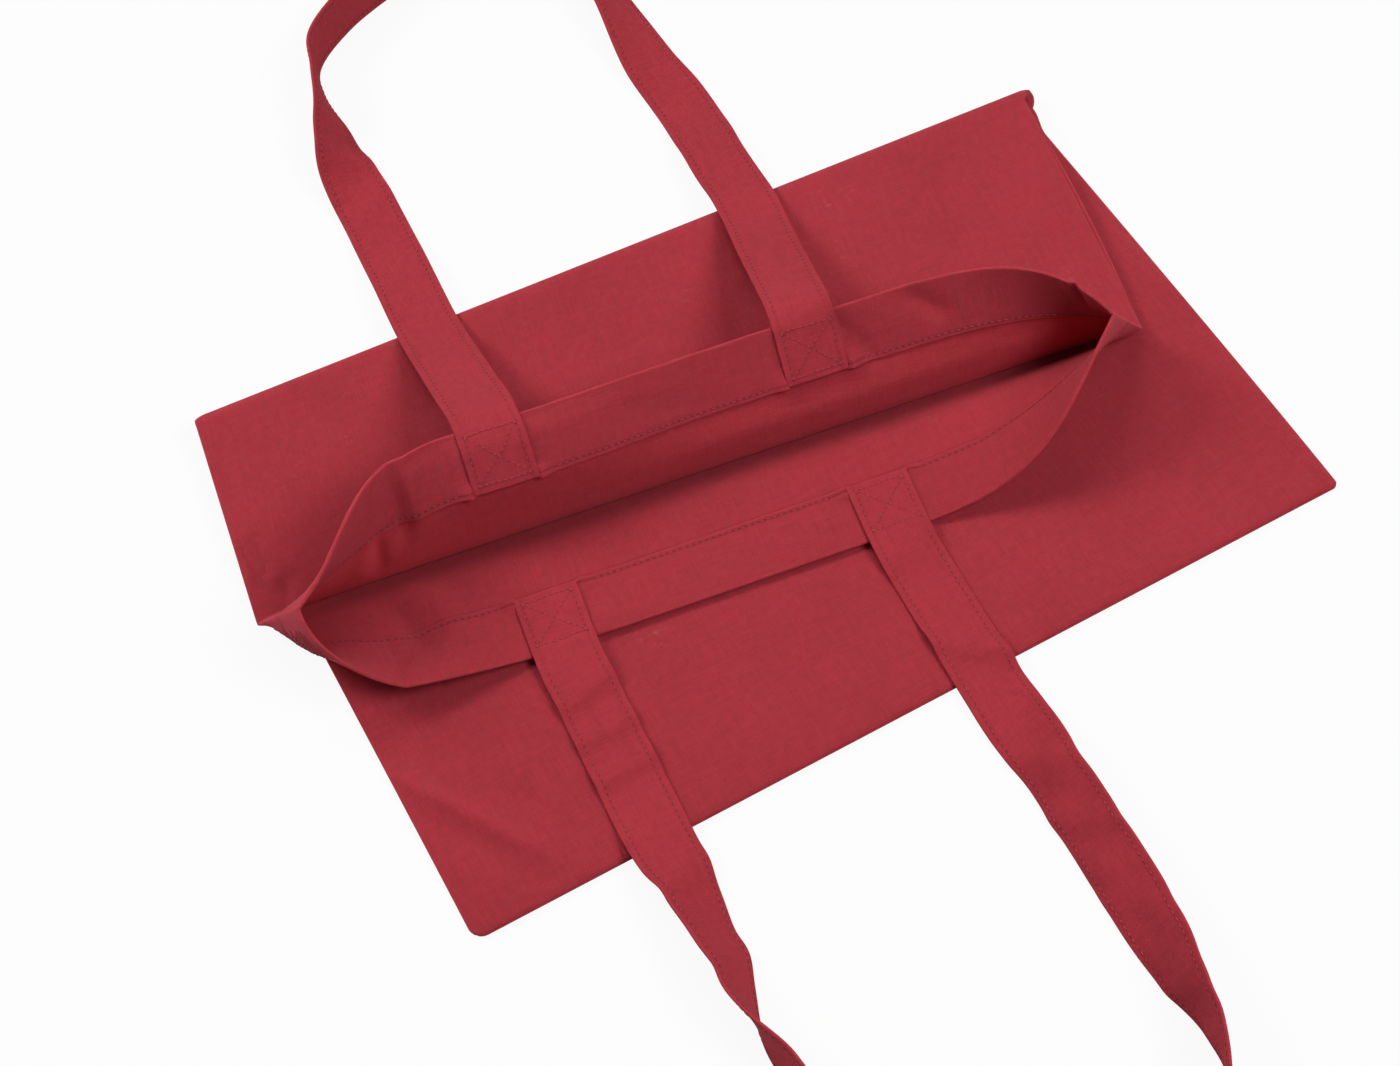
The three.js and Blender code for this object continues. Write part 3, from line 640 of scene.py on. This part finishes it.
def smooth_route(points, apart):
    """Even points along a smooth curve through the given ones."""
    p = np.array(points, float)
    p = np.concatenate([[2 * p[0] - p[1]], p, [2 * p[-1] - p[-2]]])
    t = np.linspace(0, 1, 60, endpoint=False)[:, None]
    run = []
    for p0, p1, p2, p3 in zip(p, p[1:], p[2:], p[3:]):
        d0, d1, d2 = (math.sqrt(np.linalg.norm(b - a)) for a, b in ((p0, p1), (p1, p2), (p2, p3)))
        v1 = d1 * ((p1 - p0) / d0 - (p2 - p0) / (d0 + d1) + (p2 - p1) / d1)
        v2 = d1 * ((p2 - p1) / d1 - (p3 - p1) / (d1 + d2) + (p3 - p2) / d2)
        run.append(p1 + v1 * t + (3 * (p2 - p1) - 2 * v1 - v2) * t ** 2 + (2 * (p1 - p2) + v1 + v2) * t ** 3)
    run = np.concatenate([*run, p[-2:-1]])
    far = np.concatenate([[0.0], np.cumsum(np.linalg.norm(np.diff(run, axis=0), axis=1))])
    even = np.linspace(0, far[-1], int(far[-1] / apart) + 1)
    return np.stack([np.interp(even, far, run[:, k]) for k in range(3)], -1), even / far[-1], far[-1]


def strap_share(place):
    return 0.5 + place / CREASE_LENGTH


def rim_exit(side, place, past):
    u = np.array(strap_share(place))
    inward = facing(mouth, side, u, np.array(1 - 1e-3))[1]
    return mouth(side, u, np.array(1 + past / FLAP)) + EXIT_IN * inward - EXIT_DROP * UP


def back_leg(hand):
    """Where a back leg comes down on the table, and its points from the rim over the fold."""
    start, rise = (rim_exit(1, BACK_STRAPS[hand], past) for past in (1, 4))
    x = start[0] + BACK_DRIFT[hand]
    crest = np.array([start[0] + CREST_DRIFT[hand], 0, CREST_HEIGHT])
    crest[1] = fold_y(crest[0])
    landing = np.array([(crest[0] + x) / 2, crest[1] + LANDING_PAST, LANDING_HEIGHT])
    sag = [lerp(start, crest, 0.3) + 1.6 * UP, lerp(start, crest, 0.6) + 0.2 * UP]
    return x, [start, rise, *sag, crest, landing]


def front_leg(hand):
    """Where a front leg comes down on the table, and its points from the rim past the bottom edge."""
    start, lead = (rim_exit(-1, FRONT_STRAPS[hand], past) for past in (1, 6))
    x = start[0] + FRONT_DRIFT[hand]
    route = [start, lead]
    for part, y, z in ((0.78, 0.78 * start[1], 3.7), (0.38, 0.38 * start[1], 3.3), (0, -3, 3.3),
                       (0, -26, STRAP_LOW)):
        route.append(np.array([start[0] + (1 - part) * FRONT_DRIFT[hand], y, z]))
    return x, route


def loop_on_table(left, right, edge, out, spots):
    middle, wide = (left + right) / 2, right - left
    return [np.array([middle + a * wide / 2, edge + far * out, STRAP_LOW]) for a, far in spots]


def strap_rows(route, rolls, waves, bumps=()):
    """Grid of a strap's middle points along its route, rolled on to its edge round the far loop."""
    line, t, length = smooth_route(route, STRAP_STEP)
    roll = np.zeros_like(t)
    for (t0, roll0), (t1, roll1) in zip(rolls, rolls[1:]):
        roll = roll + np.radians(roll1 - roll0) * soft(t, t0, t1)
    line[:, 2] = np.maximum(line[:, 2], STRAP_LOW) + STRAP_WIDTH / 2 * np.abs(np.sin(roll)) + STRAP_LIFT
    heading = unit(np.gradient(line, axis=0))
    side = unit(np.cross(heading, UP))
    up = np.cross(side, heading)
    wide = side * np.cos(roll)[:, None] - up * np.sin(roll)[:, None]
    over = np.cross(wide, heading)
    grid = line[:, None] + wide[:, None] * STRAP_AT[:, None]
    far = (t * length)[:, None]
    for at, spread, tall, skew in waves:
        shift = (far - at - skew * STRAP_AT[None, :]) / spread
        grid = grid + over[:, None] * (tall * np.exp(-shift ** 2))[..., None]
    for at, across, spread, wide_spread, tall in bumps:
        shift = ((far - at) / spread) ** 2 + ((STRAP_AT[None, :] - across) / wide_spread) ** 2
        grid = grid + over[:, None] * (tall * np.exp(-shift))[..., None]
    return grid


def rim_lift(s):
    """How far a sewn strap end lifts on the way to the rim."""
    return 0.3 * soft(s, 0.9, 1.01)


def sewn_rows(side, place, way):
    """Grid of a strap's sewn end, from its turned-in end to the rim; way 1 where its width runs with u."""
    u = strap_share(place) + way * STRAP_AT[None, :] / CREASE_LENGTH
    height = SEWN_HEIGHT + rim_lift(SEWN_AT)[:, None]
    return on_wall(side, u, np.minimum(SEWN_AT, SEWN_END)[:, None], height)[0]


def handle(side, first, last, rows):
    """A whole strap: the sewn end it starts from, its rows, and the sewn end it comes back to."""
    # A strap's width runs with u where it heads back, and against it where it heads forward
    grid = np.concatenate([sewn_rows(side, first, side), rows[3:-3], sewn_rows(side, last, -side)[::-1]])
    for bend in (SEWN, len(grid) - SEWN):
        grid = smoothed(grid, bend - 6, bend + 6, 8)
    return cloth(grid, cloth_uv(grid, STRAP_AT)[0], STRAP_HALVES, STRAP_ROW_SHADE)


left_x, left_leg = back_leg(0)
right_x, right_leg = back_leg(1)
back_route = left_leg + loop_on_table(left_x, right_x, FOLD_Y, BACK_LOOP, BACK_SPOTS) + right_leg[::-1]
back_strap = handle(1, *BACK_STRAPS, strap_rows(back_route, BACK_ROLLS, BACK_STRAP_WAVES))

left_x, left_leg = front_leg(0)
right_x, right_leg = front_leg(1)
front_route = right_leg + loop_on_table(left_x, right_x, 0, -FRONT_LOOP, FRONT_SPOTS) + left_leg[::-1]
front_rows = strap_rows(front_route, FRONT_ROLLS, FRONT_STRAP_WAVES, FRONT_STRAP_BUMPS)
front_strap = handle(-1, *FRONT_STRAPS[::-1], front_rows)

front_handle = closed_sheet("front_handle_strap", front_strap)
# The back strap is cut a little past the rim, where its ends turn from the rim to the handle
near = SEWN + 13
far = len(back_strap["grid"]) - 1 - near
back_end_left = closed_sheet("back_handle_end_left", back_strap, np.s_[:near + 1], flat_ends=(1,))
back_handle = closed_sheet("back_handle_strap", back_strap, np.s_[near:far + 1], flat_ends=(0, 1))
back_end_right = closed_sheet("back_handle_end_right", back_strap, np.s_[far:], flat_ends=(0,))


# Node wrapper

class Shade:
    """One node socket, with arithmetic that adds its Math nodes."""

    def __init__(self, tree, socket=None):
        self.tree, self.socket = tree, socket

    def node(self, kind, sockets=(), out=0, **settings):
        """Any node: its settings first, then the values or links of its sockets, then the output to use."""
        made = self.tree.nodes.new(kind)
        for key, value in settings.items():
            setattr(made, key, value)
        for key, value in dict(sockets).items():
            if isinstance(value, Shade):
                self.tree.links.new(value.socket, made.inputs[key])
            else:
                made.inputs[key].default_value = value
        return Shade(self.tree, made.outputs[out] if made.outputs else None)

    def math(self, operation, *values):
        return self.node("ShaderNodeMath", dict(enumerate(values)), operation=operation)

    def __add__(self, other):
        return self.math("ADD", self, other)

    def __sub__(self, other):
        return self.math("SUBTRACT", self, other)

    def __rsub__(self, other):
        return self.math("SUBTRACT", other, self)

    def __mul__(self, other):
        return self.math("MULTIPLY", self, other)

    __radd__, __rmul__ = __add__, __mul__

    def clamp(self, low, high):
        """0 below low, 1 above high."""
        return self.node("ShaderNodeMapRange", {"Value": self, "From Min": low, "From Max": high},
                         interpolation_type="SMOOTHSTEP")

    def tint(self, first, second):
        """Colour between two others, by this value."""
        return self.node("ShaderNodeMix", {0: self, 6: first, 7: second}, out=2, data_type="RGBA")


def rgb(r, g, b):
    return (r, g, b, 1)


# Colours and finishes

WHITE, TABLE_GREY = rgb(1, 1, 1), rgb(0.7, 0.7, 0.7)
COTTON, COTTON_DEEP = rgb(0.48, 0.043, 0.061), rgb(0.345, 0.0305, 0.044)
TAPE, TAPE_DEEP = rgb(0.48, 0.042, 0.059), rgb(0.345, 0.030, 0.043)
RUBBED, SHADOW = rgb(0.66, 0.2, 0.21), rgb(0.09, 0.008, 0.012)
THREAD_DARK, THREAD_LIGHT = rgb(0.35, 0.03, 0.044), rgb(0.47, 0.055, 0.072)
# Painted shade at the two ends of each stitch
THREAD_END_SHADE = rgb(0.07, 0.006, 0.009)
SHEEN = {"Sheen Weight": 0.02, "Sheen Roughness": 0.6, "Sheen Tint": rgb(1.0, 0.5, 0.5)}
# Thin cotton lets some light through
GLOW = {"Subsurface Radius": (1.0, 0.2, 0.28), "Subsurface Scale": 0.003}
COTTON_YARN, TAPE_YARN = 0.00055, 0.0005
COTTON_GLOW, TAPE_GLOW = 0.7, 0.0


def new_material(name):
    material = bpy.data.materials.new(name)
    material.use_nodes = True
    material.node_tree.nodes.clear()
    return material, Shade(material.node_tree)


def finish_material(shade, colour, roughness, height, bump, specular, glow):
    normal = shade.node("ShaderNodeBump", {"Height": height, "Strength": 1.0, "Distance": bump})
    surface = shade.node("ShaderNodeBsdfPrincipled", {
        "Base Color": colour, "Roughness": roughness, "Normal": normal, "Specular IOR Level": specular,
        "Subsurface Weight": glow, **SHEEN, **GLOW})
    shade.node("ShaderNodeOutputMaterial", {0: surface})


def cotton_material(name, main, deep, yarn, glow):
    """Plain-weave cotton: crossing yarns, uneven slubs, mottled dye, lint, pale edges and painted shade."""
    material, shade = new_material(name)
    weave = shade.node("ShaderNodeUVMap", uv_map="cloth")
    across, along = (shade.node("ShaderNodeSeparateXYZ", {0: weave}, out=axis) for axis in "XY")
    warp, weft = (shade.math("SINE", way * (math.tau / yarn)) for way in (across, along))
    over = warp * weft

    def noise(size, detail, stretch=(1, 1, 1)):
        place = shade.node("ShaderNodeVectorMath", {0: weave, 1: stretch}, operation="MULTIPLY")
        return shade.node("ShaderNodeTexNoise", {"Vector": place, "Scale": size, "Detail": detail})

    slub_across = noise(1.0, 2, (60, 1500, 1))
    slub = slub_across + noise(1.0, 2, (1500, 60, 1)) - 1.0
    mottle, grain, nap = noise(26, 4), noise(1400, 2), noise(300, 3)
    fibre = noise(1.0, 3, (260, 900, 1)).clamp(0.66, 0.8)
    speck = noise(700, 1).clamp(0.74, 0.82)
    scuff = noise(20, 3).clamp(0.6, 0.75) * noise(1.0, 4, (300, 420, 1)).clamp(0.55, 0.7)
    # The attribute makes the cloth paler above zero; below zero it is painted shade, tinted towards SHADOW
    pale_and_shade = shade.node("ShaderNodeAttribute", attribute_name="pale_and_shade", out="Fac")
    tone_marks, painted_shade = shade.math("MAXIMUM", pale_and_shade, 0.0), shade.math("MAXIMUM", pale_and_shade * -1.0, 0.0)
    dye = 0.5 * (mottle - 0.5) + 0.6 * (nap - 0.5) + 0.4 * (grain - 0.5)
    colour = (0.5 + 0.6 * slub + dye + 0.1 * over).clamp(0.0, 1.0).tint(deep, main)
    lint = fibre * 0.1 + speck * 0.14 + scuff * 0.22 + tone_marks * (0.2 + 0.4 * (grain - 0.4))
    colour = lint.tint(colour, RUBBED)
    colour = (painted_shade * 0.55).tint(colour, SHADOW)
    height = 0.5 * over + 0.9 * slub + 0.6 * grain
    finish_material(shade, colour, 0.86 + 0.12 * slub_across, height, bump=0.00014, specular=0.12, glow=glow)
    return material


def thread_material():
    """Sewing thread, twisted two-ply."""
    material, shade = new_material("red_thread")
    place = shade.node("ShaderNodeTexCoord", out="Object")
    twist = shade.node("ShaderNodeTexWave", {"Vector": place, "Scale": 900, "Distortion": 2.0, "Detail": 1.0},
                       wave_type="BANDS", bands_direction="DIAGONAL", out="Fac")
    mottle = shade.node("ShaderNodeTexNoise", {"Vector": place, "Scale": 60, "Detail": 3})
    colour = (0.6 * twist + 0.6 * (mottle - 0.3)).clamp(0.0, 1.0).tint(THREAD_DARK, THREAD_LIGHT)
    # Painted shade at a stitch's two ends, where it goes into the cloth
    end_shade = shade.node("ShaderNodeAttribute", attribute_name="stitch_end", out="Fac").clamp(0.35, 0.85)
    colour = (end_shade * 0.85).tint(colour, THREAD_END_SHADE)
    finish_material(shade, colour, 0.6 + 0.2 * mottle, twist, bump=0.00005, specular=0.2, glow=0.0)
    return material


cotton = cotton_material("red_cotton", COTTON, COTTON_DEEP, COTTON_YARN, COTTON_GLOW)
tape = cotton_material("red_strap_cotton", TAPE, TAPE_DEEP, TAPE_YARN, TAPE_GLOW)
thread = thread_material()


# Stitches

STITCH_INPUTS = (("Rows", "Geometry"), ("Pitch", "Float"), ("Stitch Length", "Float"),
                 ("Thread Width", "Float"), ("Thread Height", "Float"), ("Unevenness", "Float"),
                 ("Seed", "Int"), ("Thread", "Material"))
STITCH_LONG, THREAD_FLAT, UNEVENNESS = 1.02, 0.75, 0.16
ROW_POINTS = 260            # points along a hem row of the bag's whole width
HEM_CLEAR = 13.2            # a hem row stops this far from a strap's middle


def stitch_tree():
    """Geometry Nodes that set one short thread on each step along the rows they are given."""
    tree = bpy.data.node_groups.new("stitch_rows", "GeometryNodeTree")
    sockets = {}
    for name, kind in STITCH_INPUTS:
        made = tree.interface.new_socket(name, in_out="INPUT", socket_type="NodeSocket" + kind)
        sockets[name] = made.identifier
    tree.interface.new_socket("Stitches", in_out="OUTPUT", socket_type="NodeSocketGeometry")
    shade = Shade(tree)
    node = shade.node
    inputs = tree.nodes.new("NodeGroupInput").outputs
    given = {name: Shade(tree, inputs[name]) for name in sockets}
    curve = node("GeometryNodeMeshToCurve", {"Mesh": given["Rows"]})
    even = node("GeometryNodeResampleCurve", {"Curve": curve, "Length": given["Pitch"]}, mode="LENGTH")
    heading = node("GeometryNodeInputTangent")
    over = node("GeometryNodeInputNamedAttribute", {"Name": "cloth_up"}, data_type="FLOAT_VECTOR")
    turn = node("FunctionNodeAxesToRotation", {"Primary Axis": heading, "Secondary Axis": over},
                primary_axis="X", secondary_axis="Z")
    # Its poles point off the cloth and into it, so that both ends of a stitch are round
    ball = node("GeometryNodeMeshUVSphere", {"Segments": 8, "Rings": 5, "Radius": 0.5})
    along = node("ShaderNodeSeparateXYZ", {0: node("GeometryNodeInputPosition")}, out="X")
    end = shade.math("ABSOLUTE", along) * 2.0
    stitch = node("GeometryNodeStoreNamedAttribute", {"Geometry": ball, "Name": "stitch_end", "Value": end},
                  data_type="FLOAT", domain="POINT")
    size = node("ShaderNodeCombineXYZ", {"X": given["Stitch Length"], "Y": given["Thread Width"],
                                         "Z": given["Thread Height"]})
    # The random value's float inputs and output come after those of its vectors
    vary = node("FunctionNodeRandomValue", {2: 1.0 - given["Unevenness"], 3: 1.0, "Seed": given["Seed"]},
                out=1, data_type="FLOAT")
    scaled = node("ShaderNodeVectorMath", {0: size, "Scale": vary}, operation="SCALE")
    placed = node("GeometryNodeInstanceOnPoints", {"Points": even, "Instance": stitch, "Rotation": turn,
                                                   "Scale": scaled})
    real = node("GeometryNodeRealizeInstances", {"Geometry": placed})
    smooth = node("GeometryNodeSetShadeSmooth", {"Geometry": real})
    look = node("GeometryNodeSetMaterial", {"Geometry": smooth, "Material": given["Thread"]})
    node("NodeGroupOutput", {"Stitches": look})
    return tree, sockets


stitches, stitch_socket = stitch_tree()


def sewn(name, rows, seed, pitch=STITCH_PITCH, width=THREAD):
    """Plain mesh of stitches along rows, each row given as its points and the normals under them."""
    points, normals = (np.concatenate(part) for part in zip(*rows))
    edges, count = [], 0
    for p, _ in rows:
        edges += [(count + k, count + k + 1) for k in range(len(p) - 1)]
        count += len(p)
    mesh = bpy.data.meshes.new(name + "_rows")
    mesh.from_pydata(row_frame(points).tolist(), edges, [])
    up = mesh.attributes.new("cloth_up", "FLOAT_VECTOR", "POINT")
    up.data.foreach_set("vector", normals.astype(np.float32).ravel())
    path = linked(name + "_rows", mesh)
    sew = path.modifiers.new("stitches", "NODES")
    sew.node_group = stitches
    for key, value in (("Pitch", pitch / 1000), ("Stitch Length", STITCH_LONG * pitch / 1000),
                       ("Thread Width", width / 1000), ("Thread Height", THREAD_FLAT * width / 1000),
                       ("Unevenness", UNEVENNESS), ("Seed", seed), ("Thread", thread)):
        sew[stitch_socket[key]] = value
    depsgraph = bpy.context.evaluated_depsgraph_get()
    made = bpy.data.meshes.new_from_object(path.evaluated_get(depsgraph))
    made.name = name
    piece = linked(name, made)
    path.modifiers.clear()
    bpy.data.objects.remove(path)
    return piece


def hem_rows(side, straps, low=0.006, high=0.994):
    """Stitch row along a hem: on the inner side between the strap ends, on the outer side all the way."""
    s = HEM_START + HEM_ROW / FLAP
    reach = HEM_CLEAR / CREASE_LENGTH
    left, right = (strap_share(place) for place in straps)
    rows = []
    for u0, u1 in ((low, left - reach), (left + reach, right - reach), (right + reach, high)):
        u0, u1 = max(u0, low), min(u1, high)
        if u0 < u1:
            u = np.linspace(u0, u1, max(8, int((u1 - u0) * ROW_POINTS)))
            rows.append(on_wall(side, u, s, ON_HEM))
    u = np.linspace(low, high, int((high - low) * ROW_POINTS) + 3)
    return rows + [outside_wall(side, u, s, ON_OUTSIDE)]


def box_rows(side, straps):
    """Square with a cross on each sewn strap end, on the strap and on the outer side of the wall."""
    low, high = HEM_START * FLAP + 3.0, FLAP - 2.6
    corners = [(-STRAP_ROW, low), (STRAP_ROW, low), (STRAP_ROW, high), (-STRAP_ROW, high)]
    lines = [(corners[a], corners[b]) for a, b in ((0, 1), (1, 2), (2, 3), (3, 0), (0, 2), (1, 3))]
    t = np.linspace(0.02, 0.98, 16)
    rows = []
    for place in straps:
        for (w0, d0), (w1, d1) in lines:
            w, d = lerp(w0, w1, t), lerp(d0, d1, t)
            # The rows are sewn by hand and eye, so they wander a little
            w = w + 0.35 * ripple(w + 3 * place, d, 51, low=0.2, high=0.5)
            d = d + 0.35 * ripple(w, d + 3 * place, 52, low=0.2, high=0.5)
            u, s = strap_share(place) + w / CREASE_LENGTH, d / FLAP
            rows.append(on_wall(side, u, s, ON_STRAP + rim_lift(s)))
            rows.append(outside_wall(side, u, s, ON_OUTSIDE))
    return rows


def seam_end_rows():
    """Overlock threads that show under the mouth's left corner, where the side seam ends at the rim."""
    rows = []
    for s in np.arange(0.22, 0.95, 1.3 / FLAP):
        a = np.linspace(4.5, 12.0, 5) + 0.8 * math.sin(60 * s)
        lean = s + 0.02 * math.sin(40 * s) + 0.02 * (a - 11) / 4
        rows.append(outside_wall(-1, a / BAG_WIDTH, np.clip(lean, 0.05, 0.98), ON_SEAM_END))
    return rows


def strap_edge_rows(strap, part):
    """Two rows of stitches along a strap, on both of its faces."""
    rows = []
    for edge in (STRAP_ROW, -STRAP_ROW):
        col = int(np.argmin(np.abs(STRAP_AT - edge)))
        p, n, thick = (strap[key][part, col] for key in ("grid", "normal", "thick"))
        lift = thick[:, None] + 0.05
        rows += [(p + n * lift, n), (p - n * lift, -n)]
    return rows


front_hem_stitches = sewn("front_hem_stitching", hem_rows(-1, FRONT_STRAPS), 2)
cut_left, cut_right = share[CUT_LEFT], share[CUT_RIGHT]
back_hem_stitches = sewn("back_hem_stitching", hem_rows(1, BACK_STRAPS, cut_left, cut_right), 3)
left_hem_stitches = sewn("back_hem_stitching_left", hem_rows(1, BACK_STRAPS, high=cut_left), 10)
right_hem_stitches = sewn("back_hem_stitching_right", hem_rows(1, BACK_STRAPS, low=cut_right), 11)
front_box_stitches = sewn("front_box_stitching", box_rows(-1, FRONT_STRAPS), 4, BOX_PITCH)
back_box_stitches = sewn("back_box_stitching", box_rows(1, BACK_STRAPS), 5, BOX_PITCH)
front_edge_rows = strap_edge_rows(front_strap, np.s_[SEWN + 1:-SEWN - 1])
front_edge_stitches = sewn("front_handle_stitching", front_edge_rows, 6)
back_edge_stitches = sewn("back_handle_stitching", strap_edge_rows(back_strap, np.s_[near:far + 1]), 7)
back_end_rows = (strap_edge_rows(back_strap, np.s_[SEWN + 1:near + 1])
                 + strap_edge_rows(back_strap, np.s_[far:-SEWN - 1]))
back_end_stitches = sewn("back_handle_end_stitching", back_end_rows, 8)
seam_end_stitches = sewn("seam_end_stitching", seam_end_rows(), 9, OVERLOCK_PITCH, OVERLOCK_THREAD)

# Finishes and bodies of the pieces, and the model's parts that are hidden

for piece in (back_wall, back_mouth, back_mouth_left, back_mouth_right, front_lower, front_turn, front_mouth,
              lower_seams, upper_seams):
    piece.data.materials.append(cotton)
for piece in (front_handle, back_handle, back_end_left, back_end_right):
    piece.data.materials.append(tape)

# Where the cloth turns from one body to the next: places, and spans in millimetres from them
FOLD_MIDDLE, FOLD_FOOT = np.array([0.0, FOLD_Y, FOLD_Z]), np.array([0.0, FOLD_Y, 0.0])
FRONT_RIM, BACK_RIM = np.array([-44.82, 73.93, 7.6]), np.array([-34.7, 154.98, 46.85])
BACK_TURN, FRONT_TURN = (1.5, 7.4), (2.8, 10.4)
MOUTH_LEFT, MOUTH_RIGHT = (-168, -108), (160, 112)
PAST_FRONT_RIM, PAST_BACK_RIM, PAST_FOLD = (1, -12), (-1, 10), (-14, 21)


def bends(first, second, at, way, span, *pieces):
    """Bakes the transforms of pieces that lie where the cloth turns from one body to the next; the bodies and
    the span are not used.
    """
    start, end = (tuple(row_frame(at + far * way)) for far in span)
    for piece in pieces:
        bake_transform(piece)
        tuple(start)
        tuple(end)


for body, pieces in (
        ("base", (front_lower, lower_seams)),
        ("top", (front_mouth, upper_seams, front_hem_stitches, front_box_stitches, seam_end_stitches)),
        ("back_rim", (back_mouth, back_hem_stitches, back_box_stitches))):
    for piece in pieces:
        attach(piece, body)
bends("base", "top", FOLD_FOOT, UP, BACK_TURN, back_wall)
bends("base", "top", FOLD_FOOT, UP, FRONT_TURN, front_turn)
bends("top", "back_rim", MOUTH_AT, MOUTH_X, MOUTH_LEFT, back_mouth_left, left_hem_stitches)
bends("top", "back_rim", MOUTH_AT, MOUTH_X, MOUTH_RIGHT, back_mouth_right, right_hem_stitches)
bends("top", "front_handle", FRONT_RIM, MOUTH_Y, PAST_FRONT_RIM, front_handle, front_edge_stitches)
bends("back_rim", "back_handle", BACK_RIM, MOUTH_Y, PAST_BACK_RIM,
      back_end_left, back_end_right, back_end_stitches)
bends("back_handle", "back_handle_far", FOLD_MIDDLE, FOLD_BACK, PAST_FOLD, back_handle, back_edge_stitches)

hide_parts("back_panel_lower", "outer_fold", "back_panel_upper")
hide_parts("front_panel_lower")
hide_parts("inner_fold")
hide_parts("front_panel_upper", "front_flap", "front_hem", "left_mouth_corner",
            "right_mouth_corner")
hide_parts("back_flap", "back_hem")
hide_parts("back_flap", "back_hem", "left_mouth_corner")
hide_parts("back_flap", "back_hem", "right_mouth_corner")
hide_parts("bottom_seam", "left_side_seam_lower", "right_side_seam_lower")
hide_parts("left_side_seam_upper", "right_side_seam_upper")
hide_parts("front_strap_left", "front_strap_loop", "front_strap_right",
            "front_strap_end_left", "front_strap_end_right")
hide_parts("back_strap_left", "back_strap_right", "back_strap_bend_left",
            "back_strap_bend_right", "back_strap_loop")
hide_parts("back_strap_end_left")
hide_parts("back_strap_end_right")
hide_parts("front_hem_stitch")
for piece in (back_hem_stitches, left_hem_stitches, right_hem_stitches):
    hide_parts("back_hem_stitch")
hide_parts("front_box_stitch_left", "front_box_stitch_right")
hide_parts("back_box_stitch_left", "back_box_stitch_right")


# Table, light and camera

TABLE_HALF = 6
TABLE_WHITE = 0.92          # how white the table looks, over its own grey and the shadow on it
SKY = 0.07
# Soft lamps: place and side in metres, and watts
SOFTBOXES = (("left_softbox", (-1.033, 0.963, 1.271), 0.6, 17.8),
             ("right_softbox", (0.771, -0.771, 1.556), 0.8, 22.5),
             ("back_softbox", (0.0, 0.892, 1.678), 0.7, 8.3))
CAMERA_AT = (-0.217297, -0.328684, 0.751255)
CAMERA_DOWN, CAMERA_TURN = 64.023, -28.817
CAMERA_LENS, CAMERA_SENSOR = 54.77, 36.0


def seen_ray(shade):
    """1 for what the camera sees straight, in a reflection or through glass."""
    seen, glossy, through = (shade.node("ShaderNodeLightPath", out="Is %s Ray" % kind)
                             for kind in ("Camera", "Glossy", "Transmission"))
    return shade.math("MINIMUM", seen + glossy + through, 1.0)


def pale_table():
    mesh = bpy.data.meshes.new("table")
    corners = [(TABLE_HALF * x, TABLE_HALF * y, 0) for x, y in ((-1, -1), (1, -1), (1, 1), (-1, 1))]
    mesh.from_pydata(corners, [], [(0, 1, 2, 3)])
    material, shade = new_material("pale_table")
    matt = shade.node("ShaderNodeBsdfDiffuse", {"Color": TABLE_GREY})
    white = shade.node("ShaderNodeEmission", {"Color": WHITE, "Strength": 1.0})
    mixed = shade.node("ShaderNodeMixShader", {0: seen_ray(shade) * TABLE_WHITE, 1: matt, 2: white})
    shade.node("ShaderNodeOutputMaterial", {0: mixed})
    mesh.materials.append(material)
    linked("table", mesh)


def studio():
    scene = bpy.context.scene
    scene.view_settings.view_transform = "Standard"
    scene.world = bpy.data.worlds.new("studio")
    scene.world.use_nodes = True
    scene.world.node_tree.nodes.clear()
    shade = Shade(scene.world.node_tree)
    strength = SKY + (1 - SKY) * seen_ray(shade)
    sky = shade.node("ShaderNodeBackground", {"Color": WHITE, "Strength": strength})
    shade.node("ShaderNodeOutputWorld", {0: sky})
    for name, at, wide, watts in SOFTBOXES:
        lamp = bpy.data.lights.new(name, "AREA")
        lamp.shape, lamp.size, lamp.size_y, lamp.energy = "RECTANGLE", wide, wide, watts
        holder = linked(name, lamp)
        holder.location = at
        holder.rotation_euler = (-Vector(at)).to_track_quat("-Z", "Y").to_euler()


def camera():
    lens = bpy.data.cameras.new("camera")
    lens.sensor_width, lens.lens = CAMERA_SENSOR, CAMERA_LENS
    lens.clip_start = 0.01
    holder = linked("camera", lens)
    holder.location = CAMERA_AT
    holder.rotation_euler = (math.radians(90 - CAMERA_DOWN), 0, math.radians(CAMERA_TURN))
    bpy.context.scene.camera = holder


pale_table()
studio()
camera()
